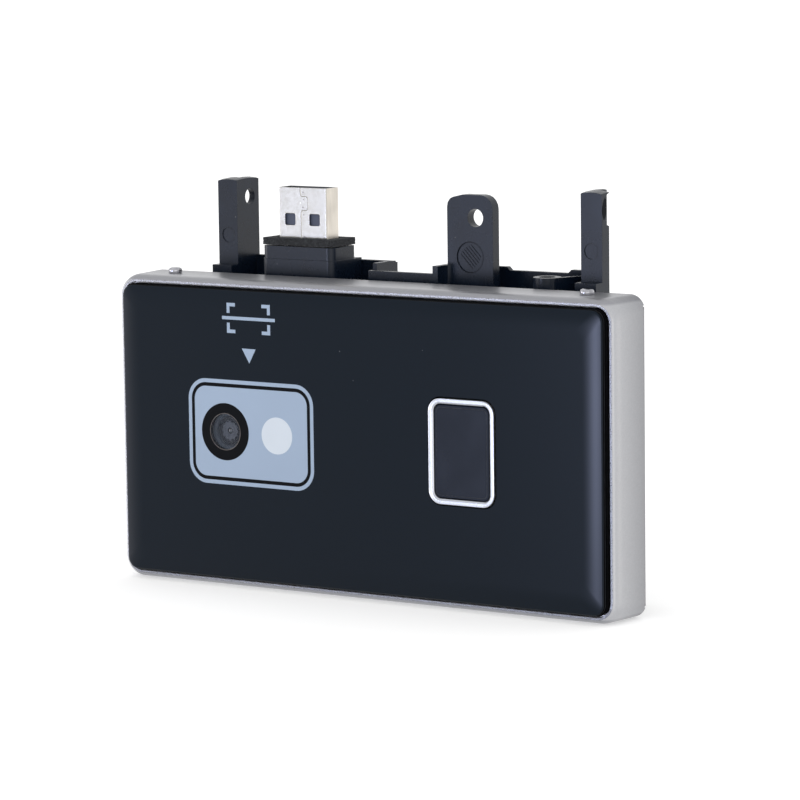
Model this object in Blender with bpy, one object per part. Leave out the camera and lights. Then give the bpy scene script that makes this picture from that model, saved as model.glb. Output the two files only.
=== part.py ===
"""Add-on QR code and fingerprint reader that plugs in under an access terminal.

Frame: +X to the right seen from the front, +Y towards the back, +Z up.
The origin is at the bottom, in the middle of the width and of the whole depth.
Sizes are in millimetres. Depths count from the front rim of the shell, and make_object moves
them by MIDDLE_Y and turns all sizes into metres.
"""
import math

import bmesh
import bpy

MM = 0.001

# Clearances
FIT_GAP = 0.3
FILM_GAP = 0.2
OVERCUT = 1.0

# Front shell
OPENING_W = 116.8
OPENING_H = 60.9
OPENING_RADIUS = 3.2
SHELL_FLARE = 1.45
SHELL_W = OPENING_W + 2 * SHELL_FLARE
SHELL_H = OPENING_H + 2 * SHELL_FLARE
SHELL_DEPTH = 11.4
SHELL_WALL = 1.8
RIM_LAND = 0.12
RIM_BEVEL_OUT = 0.5
RIM_BEVEL_DEPTH = 0.3
FLARE_DEPTH = 2.6
BACK_CORNER_RADIUS = 3.2
SEAT_DEPTH = 1.3
LEDGE_WIDTH = 2.5
LEDGE_THICKNESS = 1.5
BACK_RELIEF = 0.7
RELIEF_END_Z = 2.1
LEDGE_RADIUS = 2.0
CAVITY_RADIUS = 1.2
MIDDLE_Z = SHELL_H / 2

# Cover glass with its tape and carrier
GLASS_THICKNESS = 1.0
GLASS_PROUD = 1.7
GLASS_EDGE_ROUND = 0.75
GLASS_EDGE_INSET = 1.0
TAPE_THICKNESS = 0.2
TAPE_WIDTH = 3.0
CARRIER_THICKNESS = 1.1
GLASS_RADIUS = 2.9
GLASS_W = OPENING_W - 2 * FIT_GAP
GLASS_H = OPENING_H - 2 * FIT_GAP
GLASS_FRONT_Y = -GLASS_PROUD
GLASS_BACK_Y = GLASS_FRONT_Y + GLASS_THICKNESS
TAPE_FRONT_Y = GLASS_BACK_Y + FILM_GAP
CARRIER_FRONT_Y = TAPE_FRONT_Y + TAPE_THICKNESS + FILM_GAP
CARRIER_BACK_Y = CARRIER_FRONT_Y + CARRIER_THICKNESS

# Places of the lens, the lamp and the fingerprint sensor
LENS_IN = 28.04
LENS_X = -SHELL_W / 2 + LENS_IN
LENS_Z = MIDDLE_Z + 0.62
LENS_TO_LAMP = 12.9
LAMP_X = LENS_X + LENS_TO_LAMP
LAMP_Z = LENS_Z
SENSOR_IN = 34.2
SENSOR_X = SHELL_W / 2 - SENSOR_IN
SENSOR_Z = MIDDLE_Z + 0.2

# Fingerprint reader
BEZEL_W = 15.3
BEZEL_H = 21.2
BEZEL_RADIUS = 2.7
BEZEL_BAND = 1.1
BEZEL_PROUD = 0.35
BEZEL_DEPTH = 1.5
PAD_THICKNESS = 0.8
PAD_SUNK = 0.25
BEZEL_EDGE = 0.15
BEZEL_FRONT_Y = GLASS_FRONT_Y - BEZEL_PROUD
SENSOR_BODY_DEPTH = 3.2
SENSOR_BOARD_MARGIN = 2.5

# Camera and lamp
LENS_RING_D = 11.6
LENS_FUNNEL_D = 7.9
LENS_GLASS_D = 5.4
LENS_GLASS_DEPTH = 1.7
LENS_DOME = 0.7
LENS_EDGE = 0.9
LENS_LENGTH = 3.6
FUNNEL_FLARE = 0.6
BARREL_D = 9.4
BARREL_LENGTH = 7.0
HOLDER_WALL = 2.0
HOLDER_SIZE = BARREL_D + 2 * (FIT_GAP + HOLDER_WALL)
HOLDER_BACK_Y = 13.2
CAMERA_BOARD_W = 34.0
CAMERA_BOARD_H = 24.0
CAMERA_SENSOR_SIZE = 6.0
CAMERA_SENSOR_T = 0.8
LAMP_D = 7.6
LAMP_WALL = 0.8
LAMP_LED_SIZE = 3.2
LAMP_LED_T = 0.9
DIFFUSER_THICKNESS = 1.2
BOARD_THICKNESS = 1.2

# Rear housing: lid in the shell, deep box behind it
HOUSING_WALL = 1.8
BOX_IN = 13.25
BOX_W = SHELL_W - 2 * BOX_IN
BOX_TOP_Z = 60.3
BOX_BACK_Y = 25.8
BOX_RADIUS = 1.2
LID_THICKNESS = 2.2
LIP_THICKNESS = 0.4
LIP_INSET = 0.15
LID_FRONT_Y = SHELL_DEPTH + 0.4 - LID_THICKNESS
LID_BACK_Y = LID_FRONT_Y + LID_THICKNESS
BOX_FLOOR_Y = BOX_BACK_Y - HOUSING_WALL
MIDDLE_Y = (BEZEL_FRONT_Y + BOX_BACK_Y) / 2

# Two fastening posts
POST_TOP_Z = 83.1
POST_FRONT_Y = 17.7
POST_W = 4.85
POST_BAR_DEPTH = 2.85
POST_PLATE = 1.4
POST_DEPTH = 7.9
POST_CROWN_IN = 2.2
POST_CROWN_BACK = 4.1
POST_CROWN_X_RADIUS = 10.0
POST_CROWN_Y_RADIUS = 26.7
POST_HOLE_D = 3.4
POST_HOLE_BACK = 4.7
POST_HOLE_DOWN = 4.2
POST_HEAD_D = 6.6
POST_HEAD_BACK = 3.35
POST_HEAD_DOWN = 3.85
POST_EJECTOR_D = 3.2
POST_EJECTOR_Z = 71.1
POST_EJECTOR_IN = 2.5
POST_OUTER_X = BOX_W / 2
POST_ROOT = 1.5
LEDGE_TOP_Z = 64.95
LEDGE_REACH = 2.5

# Middle tab with its gusset
TAB_LEFT_X = 10.4
TAB_W = 10.85
TAB_THICKNESS = 2.4
TAB_TOP_Z = 81.4
TAB_RADIUS = 2.9
TAB_LEFT_CORNER = ((3.8, 0.0), (2.9, 0.2), (1.4, 0.55), (0.7, 0.9), (0.15, 1.7), (0.0, 2.6))
TAB_HOLE_D = 3.7
TAB_HOLE_RIGHT = 1.3
TAB_HOLE_DOWN = 4.65
GUSSET_W = 1.25
GUSSET_OUT = 1.3
GUSSET_FLARE = ((0.0, 2.5), (0.35, 3.35), (1.15, 3.75))
GUSSET_TOP_Z = 67.05
EJECTOR_D = 6.3
EJECTOR_SUNK = 0.15
EJECTOR_Z = 68.75

# Low walls on top of the box
RIB = 1.0
FRONT_BAR_Y = 14.0
FRONT_BAR_T = 1.2
FRONT_BAR_TOP_Z = 65.45
CLIP_TOP_Z = 66.6
CLIP_BACK_TOP_Z = 66.2
CLIP_FRONT_Y = 17.9
CLIP_SLOPE_Y = 22.5
CLIP_BACK_Y = 25.7
CLIP_BREAK = 0.2
BACK_WALL_Y = 24.5
BACK_WALL_T = 1.3
BACK_WALL_TOP_Z = 66.45
BACK_WALL_LOW_Z = 65.75
RIGHT_WALL_IN = 2.0
LOW_WALL_LEFT = 10.6
LOW_WALL_RIGHT = 7.05
RING_IN = 7.4
RING_X = POST_OUTER_X - POST_W - RING_IN
RING_Y = 17.0
RING_D = 5.7
RING_BORE_D = 3.4
RING_TOP_Z = 65.65
RING_RIB_T = 0.9
RING_RIB_SUNK = 0.1
RING_RIB_LEAN = 64.75
RING_RIB_LENGTH = 9.8

# Plug
PLUG_IN = 22.7
PLUG_X = -POST_OUTER_X + PLUG_IN
PLUG_Y = 18.2
PLUG_BASE_W = 18.1
PLUG_BASE_D = 9.3
PLUG_BASE_RADIUS = 1.6
PLUG_BASE_STEP_Z = 67.0
PLUG_BASE_TOP_Z = 69.65
PLUG_STEP_INSET = 0.12
PLUG_TO_CLIP = 6.9
CLIP_TO_BAR = 1.5
CLIP_LEFT_X = PLUG_X + PLUG_BASE_W / 2 + PLUG_TO_CLIP
FRONT_BAR_LEFT_X = CLIP_LEFT_X + CLIP_TO_BAR
PLUG_STEM_W = 13.0
PLUG_STEM_D = 6.4
PLUG_STEM_Z = 57.0
FOAM_THICKNESS = 1.6
FOAM_INSET = 0.15
FOAM_GAP = 0.1
FOAM_RADIUS = 0.6
USB_W = 12.0
USB_D = 4.5
USB_TOP_Z = 81.7
USB_BOTTOM_Z = 62.0
USB_SHEET = 0.3
USB_RADIUS = 0.3
USB_WINDOW_W = 2.55
USB_WINDOW_H = 2.35
USB_WINDOW_APART = 6.1
USB_WINDOW_DOWN = 5.4
TONGUE_T = 1.9
TONGUE_DOWN = 0.8
CONTACT_W = 1.2
CONTACT_T = 0.15
CONTACT_GAP = 0.1
CONTACT_LENGTH = 8.0
CONTACT_DOWN = 1.0
CONTACT_PITCH = 2.3
PLUG_BOARD_W = 14.0

# Pins on top of the shell
PIN_IN = 10.1
PIN_X = SHELL_W / 2 - PIN_IN
PIN_Y = 6.4
PIN_HEAD_D = 2.8
PIN_HEAD_H = 1.15
PIN_SHANK_D = 1.8
PIN_SHANK_L = 3.2
PIN_HOLE_D = 2.4
PIN_HOLE_DEPTH = 4.0
PIN_DOME_START = 0.35
PIN_SEAT_GAP = 0.1

# Screws that hold the housing to the shell
SHELL_SCREW_IN_X = 6.85
SHELL_SCREW_X = SHELL_W / 2 - SHELL_SCREW_IN_X
SHELL_SCREW_IN_Z = 8.5
SHELL_BOSS_D = 5.4
SCREW_HEAD_D = 4.4
SCREW_HEAD_H = 1.4
SCREW_SHANK_D = 2.0
SCREW_HOLE_D = 2.6
SCREW_CROWN_START = 0.55
SCREW_CROWN_SHARE = 0.7
SCREW_CROSS_SHARE = 0.6
SCREW_CROSS_LONG = 0.55
SCREW_CROSS_WIDE = 0.16
SHELL_SCREW_L = 6.0

# Main board
BOARD_SIDE_GAP = 3.65
BOARD_END_GAP = 4.35
MAIN_BOARD_W = BOX_W - 2 * (HOUSING_WALL + BOARD_SIDE_GAP)
MAIN_BOARD_H = BOX_TOP_Z - 2 * (HOUSING_WALL + BOARD_END_GAP)
MAIN_BOARD_Z = BOX_TOP_Z / 2
MAIN_BOARD_FRONT_Y = 19.4
STANDOFF_D = 5.0
BOARD_HOLE_IN = 3.5
BOARD_SCREW_HEAD_D = 3.8
BOARD_SCREW_HEAD_H = 1.2
BOARD_SCREW_D = 1.8
BOARD_SCREW_HOLE_D = 2.4
BOARD_SCREW_L = 3.6
RIBBON_T = 0.3
RIBBON_W = 9.0
RIBBON_RUN = 8.0
RIBBON_SOCKET_W = 3.0
PLUG_SOCKET_Z = 49.5
PLUG_SOCKET_H = 3.0
CHIPS = (
    ("decoder_chip", -2.0, 36.0, 14.0, 14.0, 1.4),
    ("memory_chip", 8.0, 18.0, 11.0, 8.0, 1.1),
    ("plug_socket", PLUG_X, PLUG_SOCKET_Z, PLUG_BOARD_W, PLUG_SOCKET_H, 2.4),
    ("ribbon_socket", SENSOR_X - RIBBON_SOCKET_W / 2 - FIT_GAP, SENSOR_Z, RIBBON_SOCKET_W, RIBBON_W, 2.0),
)
SPACER_D = 4.0

# Smoothness
CORNER_STEPS = 5
ROUND_SIDES = 28
SMALL_SIDES = 18
SMALL_D = 3.0
FLARE_STEPS = 6
GLASS_EDGE_STEPS = 4
LENS_STEPS = 5
PIN_DOME_STEPS = 5
EDGE_ROUND = 0.5

# Colours as linear red, green, blue, then roughness and metallic
LOOKS = {
    "cover_glass": ((0.014, 0.018, 0.026), 0.12, 0.0),
    "black_tape": ((0.02, 0.02, 0.022), 0.7, 0.0),
    "black_plastic": ((0.026, 0.028, 0.034), 0.5, 0.0),
    "silver_paint": ((0.52, 0.52, 0.54), 0.42, 0.6),
    "steel": ((0.68, 0.67, 0.68), 0.28, 1.0),
    "plug_steel": ((0.74, 0.72, 0.72), 0.3, 1.0),
    "foam": ((0.018, 0.018, 0.02), 0.95, 0.0),
    "white_plastic": ((0.82, 0.84, 0.86), 0.35, 0.0),
    "gold": ((0.8, 0.58, 0.24), 0.3, 1.0),
    "lens_glass": ((0.05, 0.07, 0.1), 0.05, 0.0),
    "board_green": ((0.02, 0.14, 0.06), 0.45, 0.0),
    "chip_black": ((0.02, 0.02, 0.02), 0.4, 0.0),
    "pad_glass": ((0.02, 0.024, 0.036), 0.2, 0.0),
    "brass": ((0.66, 0.48, 0.2), 0.35, 1.0),
    "ribbon_amber": ((0.35, 0.14, 0.03), 0.4, 0.0),
}


def clear_scene():
    """Remove what the scene holds."""
    for thing in list(bpy.data.objects):
        bpy.data.objects.remove(thing, do_unlink=True)


def look(name):
    """Return the named material, made on first use."""
    material = bpy.data.materials.get(name)
    if material:
        return material
    colour, roughness, metallic = LOOKS[name]
    material = bpy.data.materials.new(name)
    material.use_nodes = True
    shader = material.node_tree.nodes["Principled BSDF"]
    shader.inputs["Base Color"].default_value = (*colour, 1.0)
    shader.inputs["Roughness"].default_value = roughness
    shader.inputs["Metallic"].default_value = metallic
    return material


def make_object(name, points, faces, material):
    """Make a closed mesh object from points in millimetres."""
    mesh = bpy.data.meshes.new(name)
    mesh.from_pydata([(x * MM, (y - MIDDLE_Y) * MM, z * MM) for x, y, z in points], [], faces)
    work = bmesh.new()
    work.from_mesh(mesh)
    bmesh.ops.recalc_face_normals(work, faces=work.faces)
    work.to_mesh(mesh)
    work.free()
    thing = bpy.data.objects.new(name, mesh)
    thing.data.materials.append(look(material))
    bpy.context.scene.collection.objects.link(thing)
    mesh.shade_smooth()
    mesh.set_sharp_from_angle(angle=math.radians(35))
    return thing


def loft(name, rings, material="steel"):
    """Skin a list of equal rings and cap both ends."""
    count = len(rings[0])
    points = [point for ring in rings for point in ring]
    faces = [list(range(count)), list(range(len(points) - count, len(points)))]
    for level in range(len(rings) - 1):
        low = level * count
        high = low + count
        for k in range(count):
            after = (k + 1) % count
            faces.append([low + k, low + after, high + after, high + k])
    return make_object(name, points, faces, material)


def place(axis, u, v, along):
    """Turn outline coordinates into a point: y takes (x, z), z takes (x, y), x takes (y, z)."""
    if axis == "y":
        return (u, along, v)
    if axis == "z":
        return (u, v, along)
    return (along, u, v)


def prism(name, outline, axis, start, end, material="steel"):
    """Extrude an outline along an axis."""
    rings = [[place(axis, u, v, along) for u, v in outline] for along in (start, end)]
    return loft(name, rings, material)


def block(name, low, high, material="steel"):
    """Make a box between two corners."""
    outline = rectangle(low[0], low[2], high[0], high[2])
    return prism(name, outline, "y", low[1], high[1], material)


def rectangle(u0, v0, u1, v1):
    """Return the four corners of a rectangle."""
    return [(u0, v0), (u1, v0), (u1, v1), (u0, v1)]


def arc(u, v, radius, start, end, steps):
    """Return points on an arc, angles in degrees."""
    points = []
    for k in range(steps + 1):
        angle = math.radians(start + (end - start) * k / steps)
        points.append((u + radius * math.cos(angle), v + radius * math.sin(angle)))
    return points


def rounded(u, v, width, height, radius):
    """Return a rounded rectangle about a centre."""
    across = width / 2 - radius
    up = height / 2 - radius
    points = []
    for side_u, side_v, start in ((1, 1, 0), (-1, 1, 90), (-1, -1, 180), (1, -1, 270)):
        corner = arc(u + side_u * across, v + side_v * up, radius, start, start + 90, CORNER_STEPS)
        points.extend(corner)
    return points


def circle(u, v, diameter, sides=ROUND_SIDES):
    """Return a circle's points."""
    return arc(u, v, diameter / 2, 0, 360 - 360 / sides, sides - 1)


def turned(name, profile, axis, u, v, material="steel", sides=ROUND_SIDES):
    """Turn a profile of (radius, place along the axis) about a line through (u, v)."""
    rings = []
    for radius, along in profile:
        rings.append([place(axis, a, b, along) for a, b in circle(u, v, 2 * radius, sides)])
    return loft(name, rings, material)


def combine(target, tool, operation):
    """Join to or cut from the target with a hidden helper object."""
    tool.hide_render = True
    tool.display_type = "WIRE"
    step = target.modifiers.new(f"{operation} {tool.name}", "BOOLEAN")
    step.operation = operation
    step.object = tool
    step.solver = "EXACT"


def cut(target, *tools):
    """Cut helpers out of the target."""
    for tool in tools:
        combine(target, tool, "DIFFERENCE")


def join(target, *tools):
    """Join helpers to the target."""
    for tool in tools:
        combine(target, tool, "UNION")


def bore(target, axis, u, v, diameter, start, end):
    """Cut a round hole."""
    sides = SMALL_SIDES if diameter < SMALL_D else ROUND_SIDES
    cut(target, prism(f"{target.name} bore", circle(u, v, diameter, sides), axis, start, end))


def soften(thing, width, segments=2):
    """Round the edges that turn by more than 40 degrees."""
    step = thing.modifiers.new("edge round", "BEVEL")
    step.width = width * MM
    step.segments = segments
    step.limit_method = "ANGLE"
    step.angle_limit = math.radians(40)


def shell_ring(offset, along, radius):
    """Return one outline of the shell, offset from the opening."""
    outline = rounded(0, MIDDLE_Z, OPENING_W + 2 * offset, OPENING_H + 2 * offset, radius)
    return [place("y", u, v, along) for u, v in outline]


def shell_screw_places():
    """Return the four screw places of the shell."""
    high = SHELL_H - SHELL_SCREW_IN_Z
    return [(x, z) for z in (SHELL_SCREW_IN_Z, high) for x in (-SHELL_SCREW_X, SHELL_SCREW_X)]


def front_shell():
    """Silver frame: a bright bevelled rim, a flared edge and straight walls."""
    rings = [shell_ring(RIM_LAND, 0, OPENING_RADIUS + RIM_LAND)]
    for k in range(FLARE_STEPS + 1):
        angle = math.pi / 2 * k / FLARE_STEPS
        offset = RIM_BEVEL_OUT + (SHELL_FLARE - RIM_BEVEL_OUT) * math.sin(angle)
        along = RIM_BEVEL_DEPTH + (FLARE_DEPTH - RIM_BEVEL_DEPTH) * (1 - math.cos(angle))
        radius = OPENING_RADIUS + offset
        radius += (BACK_CORNER_RADIUS - radius) * along / SHELL_DEPTH
        rings.append(shell_ring(offset, along, radius))
    rings.append(shell_ring(SHELL_FLARE, SHELL_DEPTH, BACK_CORNER_RADIUS))
    shell = loft("front_shell", rings, "silver_paint")
    cavity_front = SEAT_DEPTH + LEDGE_THICKNESS
    seat = rounded(0, MIDDLE_Z, OPENING_W, OPENING_H, OPENING_RADIUS)
    ledge = rounded(0, MIDDLE_Z, OPENING_W - 2 * LEDGE_WIDTH, OPENING_H - 2 * LEDGE_WIDTH, LEDGE_RADIUS)
    cavity = rounded(0, MIDDLE_Z, SHELL_W - 2 * SHELL_WALL, SHELL_H - 2 * SHELL_WALL, CAVITY_RADIUS)
    relief = rectangle(-SHELL_W, RELIEF_END_Z, SHELL_W, SHELL_H - RELIEF_END_Z)
    cut(shell,
        prism("shell seat", seat, "y", -OVERCUT, SEAT_DEPTH),
        prism("shell ledge", ledge, "y", SEAT_DEPTH - OVERCUT, cavity_front + OVERCUT),
        prism("shell cavity", cavity, "y", cavity_front, SHELL_DEPTH + OVERCUT),
        prism("shell relief", relief, "y", SHELL_DEPTH - BACK_RELIEF, SHELL_DEPTH + OVERCUT))
    for x, z in shell_screw_places():
        wall = math.copysign(SHELL_W / 2 - SHELL_WALL / 2, x)
        web = rectangle(min(x, wall), z - RIB, max(x, wall), z + RIB)
        boss_front = cavity_front - LEDGE_THICKNESS / 2
        boss_back = LID_FRONT_Y - FIT_GAP
        join(shell,
             prism("shell boss", circle(x, z, SHELL_BOSS_D), "y", boss_front, boss_back),
             prism("shell boss web", web, "y", boss_front, boss_back))
        bore(shell, "y", x, z, SCREW_HOLE_D, cavity_front, SHELL_DEPTH)
    for x in (-PIN_X, PIN_X):
        bore(shell, "z", x, PIN_Y, PIN_HOLE_D, SHELL_H - PIN_HOLE_DEPTH, SHELL_H + OVERCUT)
    return shell


def cover_glass():
    """Cover glass with a rounded front edge and a hole for the fingerprint bezel."""
    rings = []
    for k in range(GLASS_EDGE_STEPS + 1):
        angle = math.pi / 2 * k / GLASS_EDGE_STEPS
        inset = GLASS_EDGE_INSET * (1 - math.sin(angle))
        along = GLASS_FRONT_Y + GLASS_EDGE_ROUND * (1 - math.cos(angle))
        outline = rounded(0, MIDDLE_Z, GLASS_W - 2 * inset, GLASS_H - 2 * inset, GLASS_RADIUS - inset)
        rings.append([place("y", u, v, along) for u, v in outline])
    outline = rounded(0, MIDDLE_Z, GLASS_W, GLASS_H, GLASS_RADIUS)
    rings.append([place("y", u, v, GLASS_BACK_Y) for u, v in outline])
    glass = loft("cover_glass", rings, "cover_glass")
    cut(glass, prism("glass hole", sensor_outline(FIT_GAP), "y", GLASS_FRONT_Y - OVERCUT,
                     GLASS_BACK_Y + OVERCUT))
    return glass


def sensor_outline(grow):
    """Return the bezel's outline, grown on every side."""
    return rounded(SENSOR_X, SENSOR_Z, BEZEL_W + 2 * grow, BEZEL_H + 2 * grow, BEZEL_RADIUS + grow)


def glass_tape():
    """Tape frame between the glass and its carrier."""
    tape = prism("glass_tape", rounded(0, MIDDLE_Z, GLASS_W, GLASS_H, GLASS_RADIUS), "y",
                 TAPE_FRONT_Y, TAPE_FRONT_Y + TAPE_THICKNESS, "black_tape")
    inside = rounded(0, MIDDLE_Z, GLASS_W - 2 * TAPE_WIDTH, GLASS_H - 2 * TAPE_WIDTH, LEDGE_RADIUS)
    cut(tape, prism("tape inside", inside, "y", TAPE_FRONT_Y - OVERCUT, TAPE_FRONT_Y + OVERCUT))
    return tape


def glass_carrier():
    """Black plate under the glass, open for the lens, the lamp and the fingerprint sensor."""
    carrier = prism("glass_carrier", rounded(0, MIDDLE_Z, GLASS_W, GLASS_H, GLASS_RADIUS), "y",
                    CARRIER_FRONT_Y, CARRIER_BACK_Y, "black_plastic")
    start = CARRIER_FRONT_Y - OVERCUT
    end = CARRIER_BACK_Y + OVERCUT
    cut(carrier, prism("carrier window", sensor_outline(FIT_GAP), "y", start, end))
    bore(carrier, "y", LENS_X, LENS_Z, LENS_RING_D + 2 * FIT_GAP, start, end)
    bore(carrier, "y", LAMP_X, LAMP_Z, LAMP_D + 2 * FIT_GAP, start, end)
    return carrier


def shell_pins():
    """Two domed pins that stand on top of the shell."""
    for side, x in (("left", -PIN_X), ("right", PIN_X)):
        seat = SHELL_H + PIN_SEAT_GAP
        profile = [(PIN_SHANK_D / 2, SHELL_H - PIN_SHANK_L), (PIN_SHANK_D / 2, seat), (PIN_HEAD_D / 2, seat)]
        rise = PIN_HEAD_H * PIN_DOME_START
        for k in range(PIN_DOME_STEPS):
            angle = math.pi / 2 * k / PIN_DOME_STEPS
            along = seat + rise + (PIN_HEAD_H - rise) * math.sin(angle)
            profile.append((PIN_HEAD_D / 2 * math.cos(angle), along))
        turned(f"pin_{side}", profile, "z", x, PIN_Y, "steel")


def fingerprint_reader():
    """Silver bezel, dark pad, sensor body and its board."""
    front = BEZEL_FRONT_Y
    bezel = prism("fingerprint_bezel", sensor_outline(0), "y", front, front + BEZEL_DEPTH)
    cut(bezel, prism("bezel inside", sensor_outline(-BEZEL_BAND), "y", front - OVERCUT,
                     front + BEZEL_DEPTH + OVERCUT))
    soften(bezel, BEZEL_EDGE, 1)
    pad_front = front + PAD_SUNK
    pad_back = pad_front + PAD_THICKNESS
    prism("fingerprint_pad", sensor_outline(-BEZEL_BAND - FILM_GAP), "y", pad_front, pad_back, "pad_glass")
    body_front = front + BEZEL_DEPTH + FIT_GAP
    body_back = body_front + SENSOR_BODY_DEPTH
    body = prism("sensor_body", sensor_outline(0), "y", body_front, body_back, "black_plastic")
    raised = sensor_outline(-BEZEL_BAND - FIT_GAP)
    join(body, prism("sensor pedestal", raised, "y", pad_back + FIT_GAP, body_front + FIT_GAP))
    board_front = body_back + FIT_GAP
    half_w = BEZEL_W / 2 + SENSOR_BOARD_MARGIN
    half_h = BEZEL_H / 2 + SENSOR_BOARD_MARGIN
    outline = rectangle(SENSOR_X - half_w, SENSOR_Z - half_h, SENSOR_X + half_w, SENSOR_Z + half_h)
    prism("sensor_board", outline, "y", board_front, board_front + BOARD_THICKNESS, "board_green")
    return board_front + BOARD_THICKNESS


def camera():
    """Lens ring, lens, holder, image sensor and the board that carries them."""
    back = HOLDER_BACK_Y
    ring_front = GLASS_BACK_Y + FIT_GAP
    ring_back = CARRIER_BACK_Y + FIT_GAP
    profile = [(LENS_RING_D / 2, ring_front), (LENS_RING_D / 2, ring_back), (BARREL_D / 2, ring_back),
               (BARREL_D / 2, ring_front + BARREL_LENGTH)]
    barrel = turned("lens_barrel", profile, "y", LENS_X, LENS_Z, "black_plastic")
    glass_front = ring_front + LENS_GLASS_DEPTH
    funnel = turned("lens funnel", [(LENS_FUNNEL_D / 2 + FUNNEL_FLARE, ring_front - OVERCUT),
                                    (LENS_GLASS_D / 2 + FIT_GAP, glass_front)], "y", LENS_X, LENS_Z)
    cut(barrel, funnel)
    bore(barrel, "y", LENS_X, LENS_Z, LENS_GLASS_D + 2 * FIT_GAP, glass_front - FILM_GAP,
         ring_front + BARREL_LENGTH + OVERCUT)
    lens = [(LENS_GLASS_D / 2, glass_front + LENS_LENGTH)]
    for k in range(LENS_STEPS):
        angle = math.pi / 2 * k / LENS_STEPS
        along = glass_front + LENS_EDGE - LENS_DOME * math.sin(angle)
        lens.append((LENS_GLASS_D / 2 * math.cos(angle), along))
    turned("camera_lens", lens, "y", LENS_X, LENS_Z, "lens_glass")

    holder_front = ring_back + FIT_GAP
    half = HOLDER_SIZE / 2
    outline = rectangle(LENS_X - half, LENS_Z - half, LENS_X + half, LENS_Z + half)
    holder = prism("camera_holder", outline, "y", holder_front, back, "black_plastic")
    bore(holder, "y", LENS_X, LENS_Z, BARREL_D + 2 * FIT_GAP, holder_front - OVERCUT, back + OVERCUT)
    soften(holder, EDGE_ROUND, 1)

    board_front = back + FIT_GAP
    centre_x = (LENS_X + LAMP_X) / 2
    block("camera_board", (centre_x - CAMERA_BOARD_W / 2, board_front, LENS_Z - CAMERA_BOARD_H / 2),
          (centre_x + CAMERA_BOARD_W / 2, board_front + BOARD_THICKNESS, LENS_Z + CAMERA_BOARD_H / 2),
          "board_green")
    chip_back = board_front - FIT_GAP
    half = CAMERA_SENSOR_SIZE / 2
    block("image_sensor", (LENS_X - half, chip_back - CAMERA_SENSOR_T, LENS_Z - half),
          (LENS_X + half, chip_back, LENS_Z + half), "chip_black")
    return board_front


def lamp(board_front):
    """White diffuser, light tube and the lamp itself on the camera board."""
    front = GLASS_BACK_Y + FIT_GAP
    turned("lamp_diffuser", [(LAMP_D / 2, front), (LAMP_D / 2, front + DIFFUSER_THICKNESS)], "y",
           LAMP_X, LAMP_Z, "white_plastic")
    tube_front = front + DIFFUSER_THICKNESS + FIT_GAP
    tube = turned("lamp_tube", [(LAMP_D / 2, tube_front), (LAMP_D / 2, board_front - FIT_GAP)], "y",
                  LAMP_X, LAMP_Z, "white_plastic")
    bore(tube, "y", LAMP_X, LAMP_Z, LAMP_D - 2 * LAMP_WALL, tube_front - OVERCUT, board_front)
    half = LAMP_LED_SIZE / 2
    block("lamp_chip", (LAMP_X - half, board_front - FIT_GAP - LAMP_LED_T, LAMP_Z - half),
          (LAMP_X + half, board_front - FIT_GAP, LAMP_Z + half), "white_plastic")


def main_board_holes():
    """Return the four screw places of the main board."""
    across = MAIN_BOARD_W / 2 - BOARD_HOLE_IN
    up = MAIN_BOARD_H / 2 - BOARD_HOLE_IN
    return [(x, MAIN_BOARD_Z + z) for z in (-up, up) for x in (-across, across)]


def spacer_places():
    """Return where the two spacers carry the camera board."""
    centre_x = (LENS_X + LAMP_X) / 2
    across = CAMERA_BOARD_W / 2 - SPACER_D / 2 - EDGE_ROUND
    up = CAMERA_BOARD_H / 2 - SPACER_D / 2 - EDGE_ROUND
    low = LENS_Z - up
    return [(centre_x - across, low), (centre_x + across, low), (centre_x - across, LENS_Z + up)]


def boards(camera_board_front):
    """Main board with its chips and screws, and what joins it to the camera board."""
    back = MAIN_BOARD_FRONT_Y + BOARD_THICKNESS
    outline = rectangle(-MAIN_BOARD_W / 2, MAIN_BOARD_Z - MAIN_BOARD_H / 2,
                        MAIN_BOARD_W / 2, MAIN_BOARD_Z + MAIN_BOARD_H / 2)
    board = prism("main_board", outline, "y", MAIN_BOARD_FRONT_Y, back, "board_green")
    chip_back = MAIN_BOARD_FRONT_Y - FIT_GAP
    for name, x, z, width, height, thickness in CHIPS:
        block(name, (x - width / 2, chip_back - thickness, z - height / 2),
              (x + width / 2, chip_back, z + height / 2), "chip_black")
    for k, (x, z) in enumerate(main_board_holes(), 1):
        bore(board, "y", x, z, BOARD_SCREW_HOLE_D, MAIN_BOARD_FRONT_Y - OVERCUT, back + OVERCUT)
        screw(f"board_screw_{k}", x, z, MAIN_BOARD_FRONT_Y - FIT_GAP, -1, BOARD_SCREW_HEAD_D,
              BOARD_SCREW_HEAD_H, BOARD_SCREW_D, BOARD_SCREW_L)
    spacer_front = camera_board_front + BOARD_THICKNESS + FIT_GAP
    for k, (x, z) in enumerate(spacer_places(), 1):
        turned(f"board_spacer_{k}", [(SPACER_D / 2, spacer_front), (SPACER_D / 2, chip_back)], "y", x, z,
               "brass")


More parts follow.
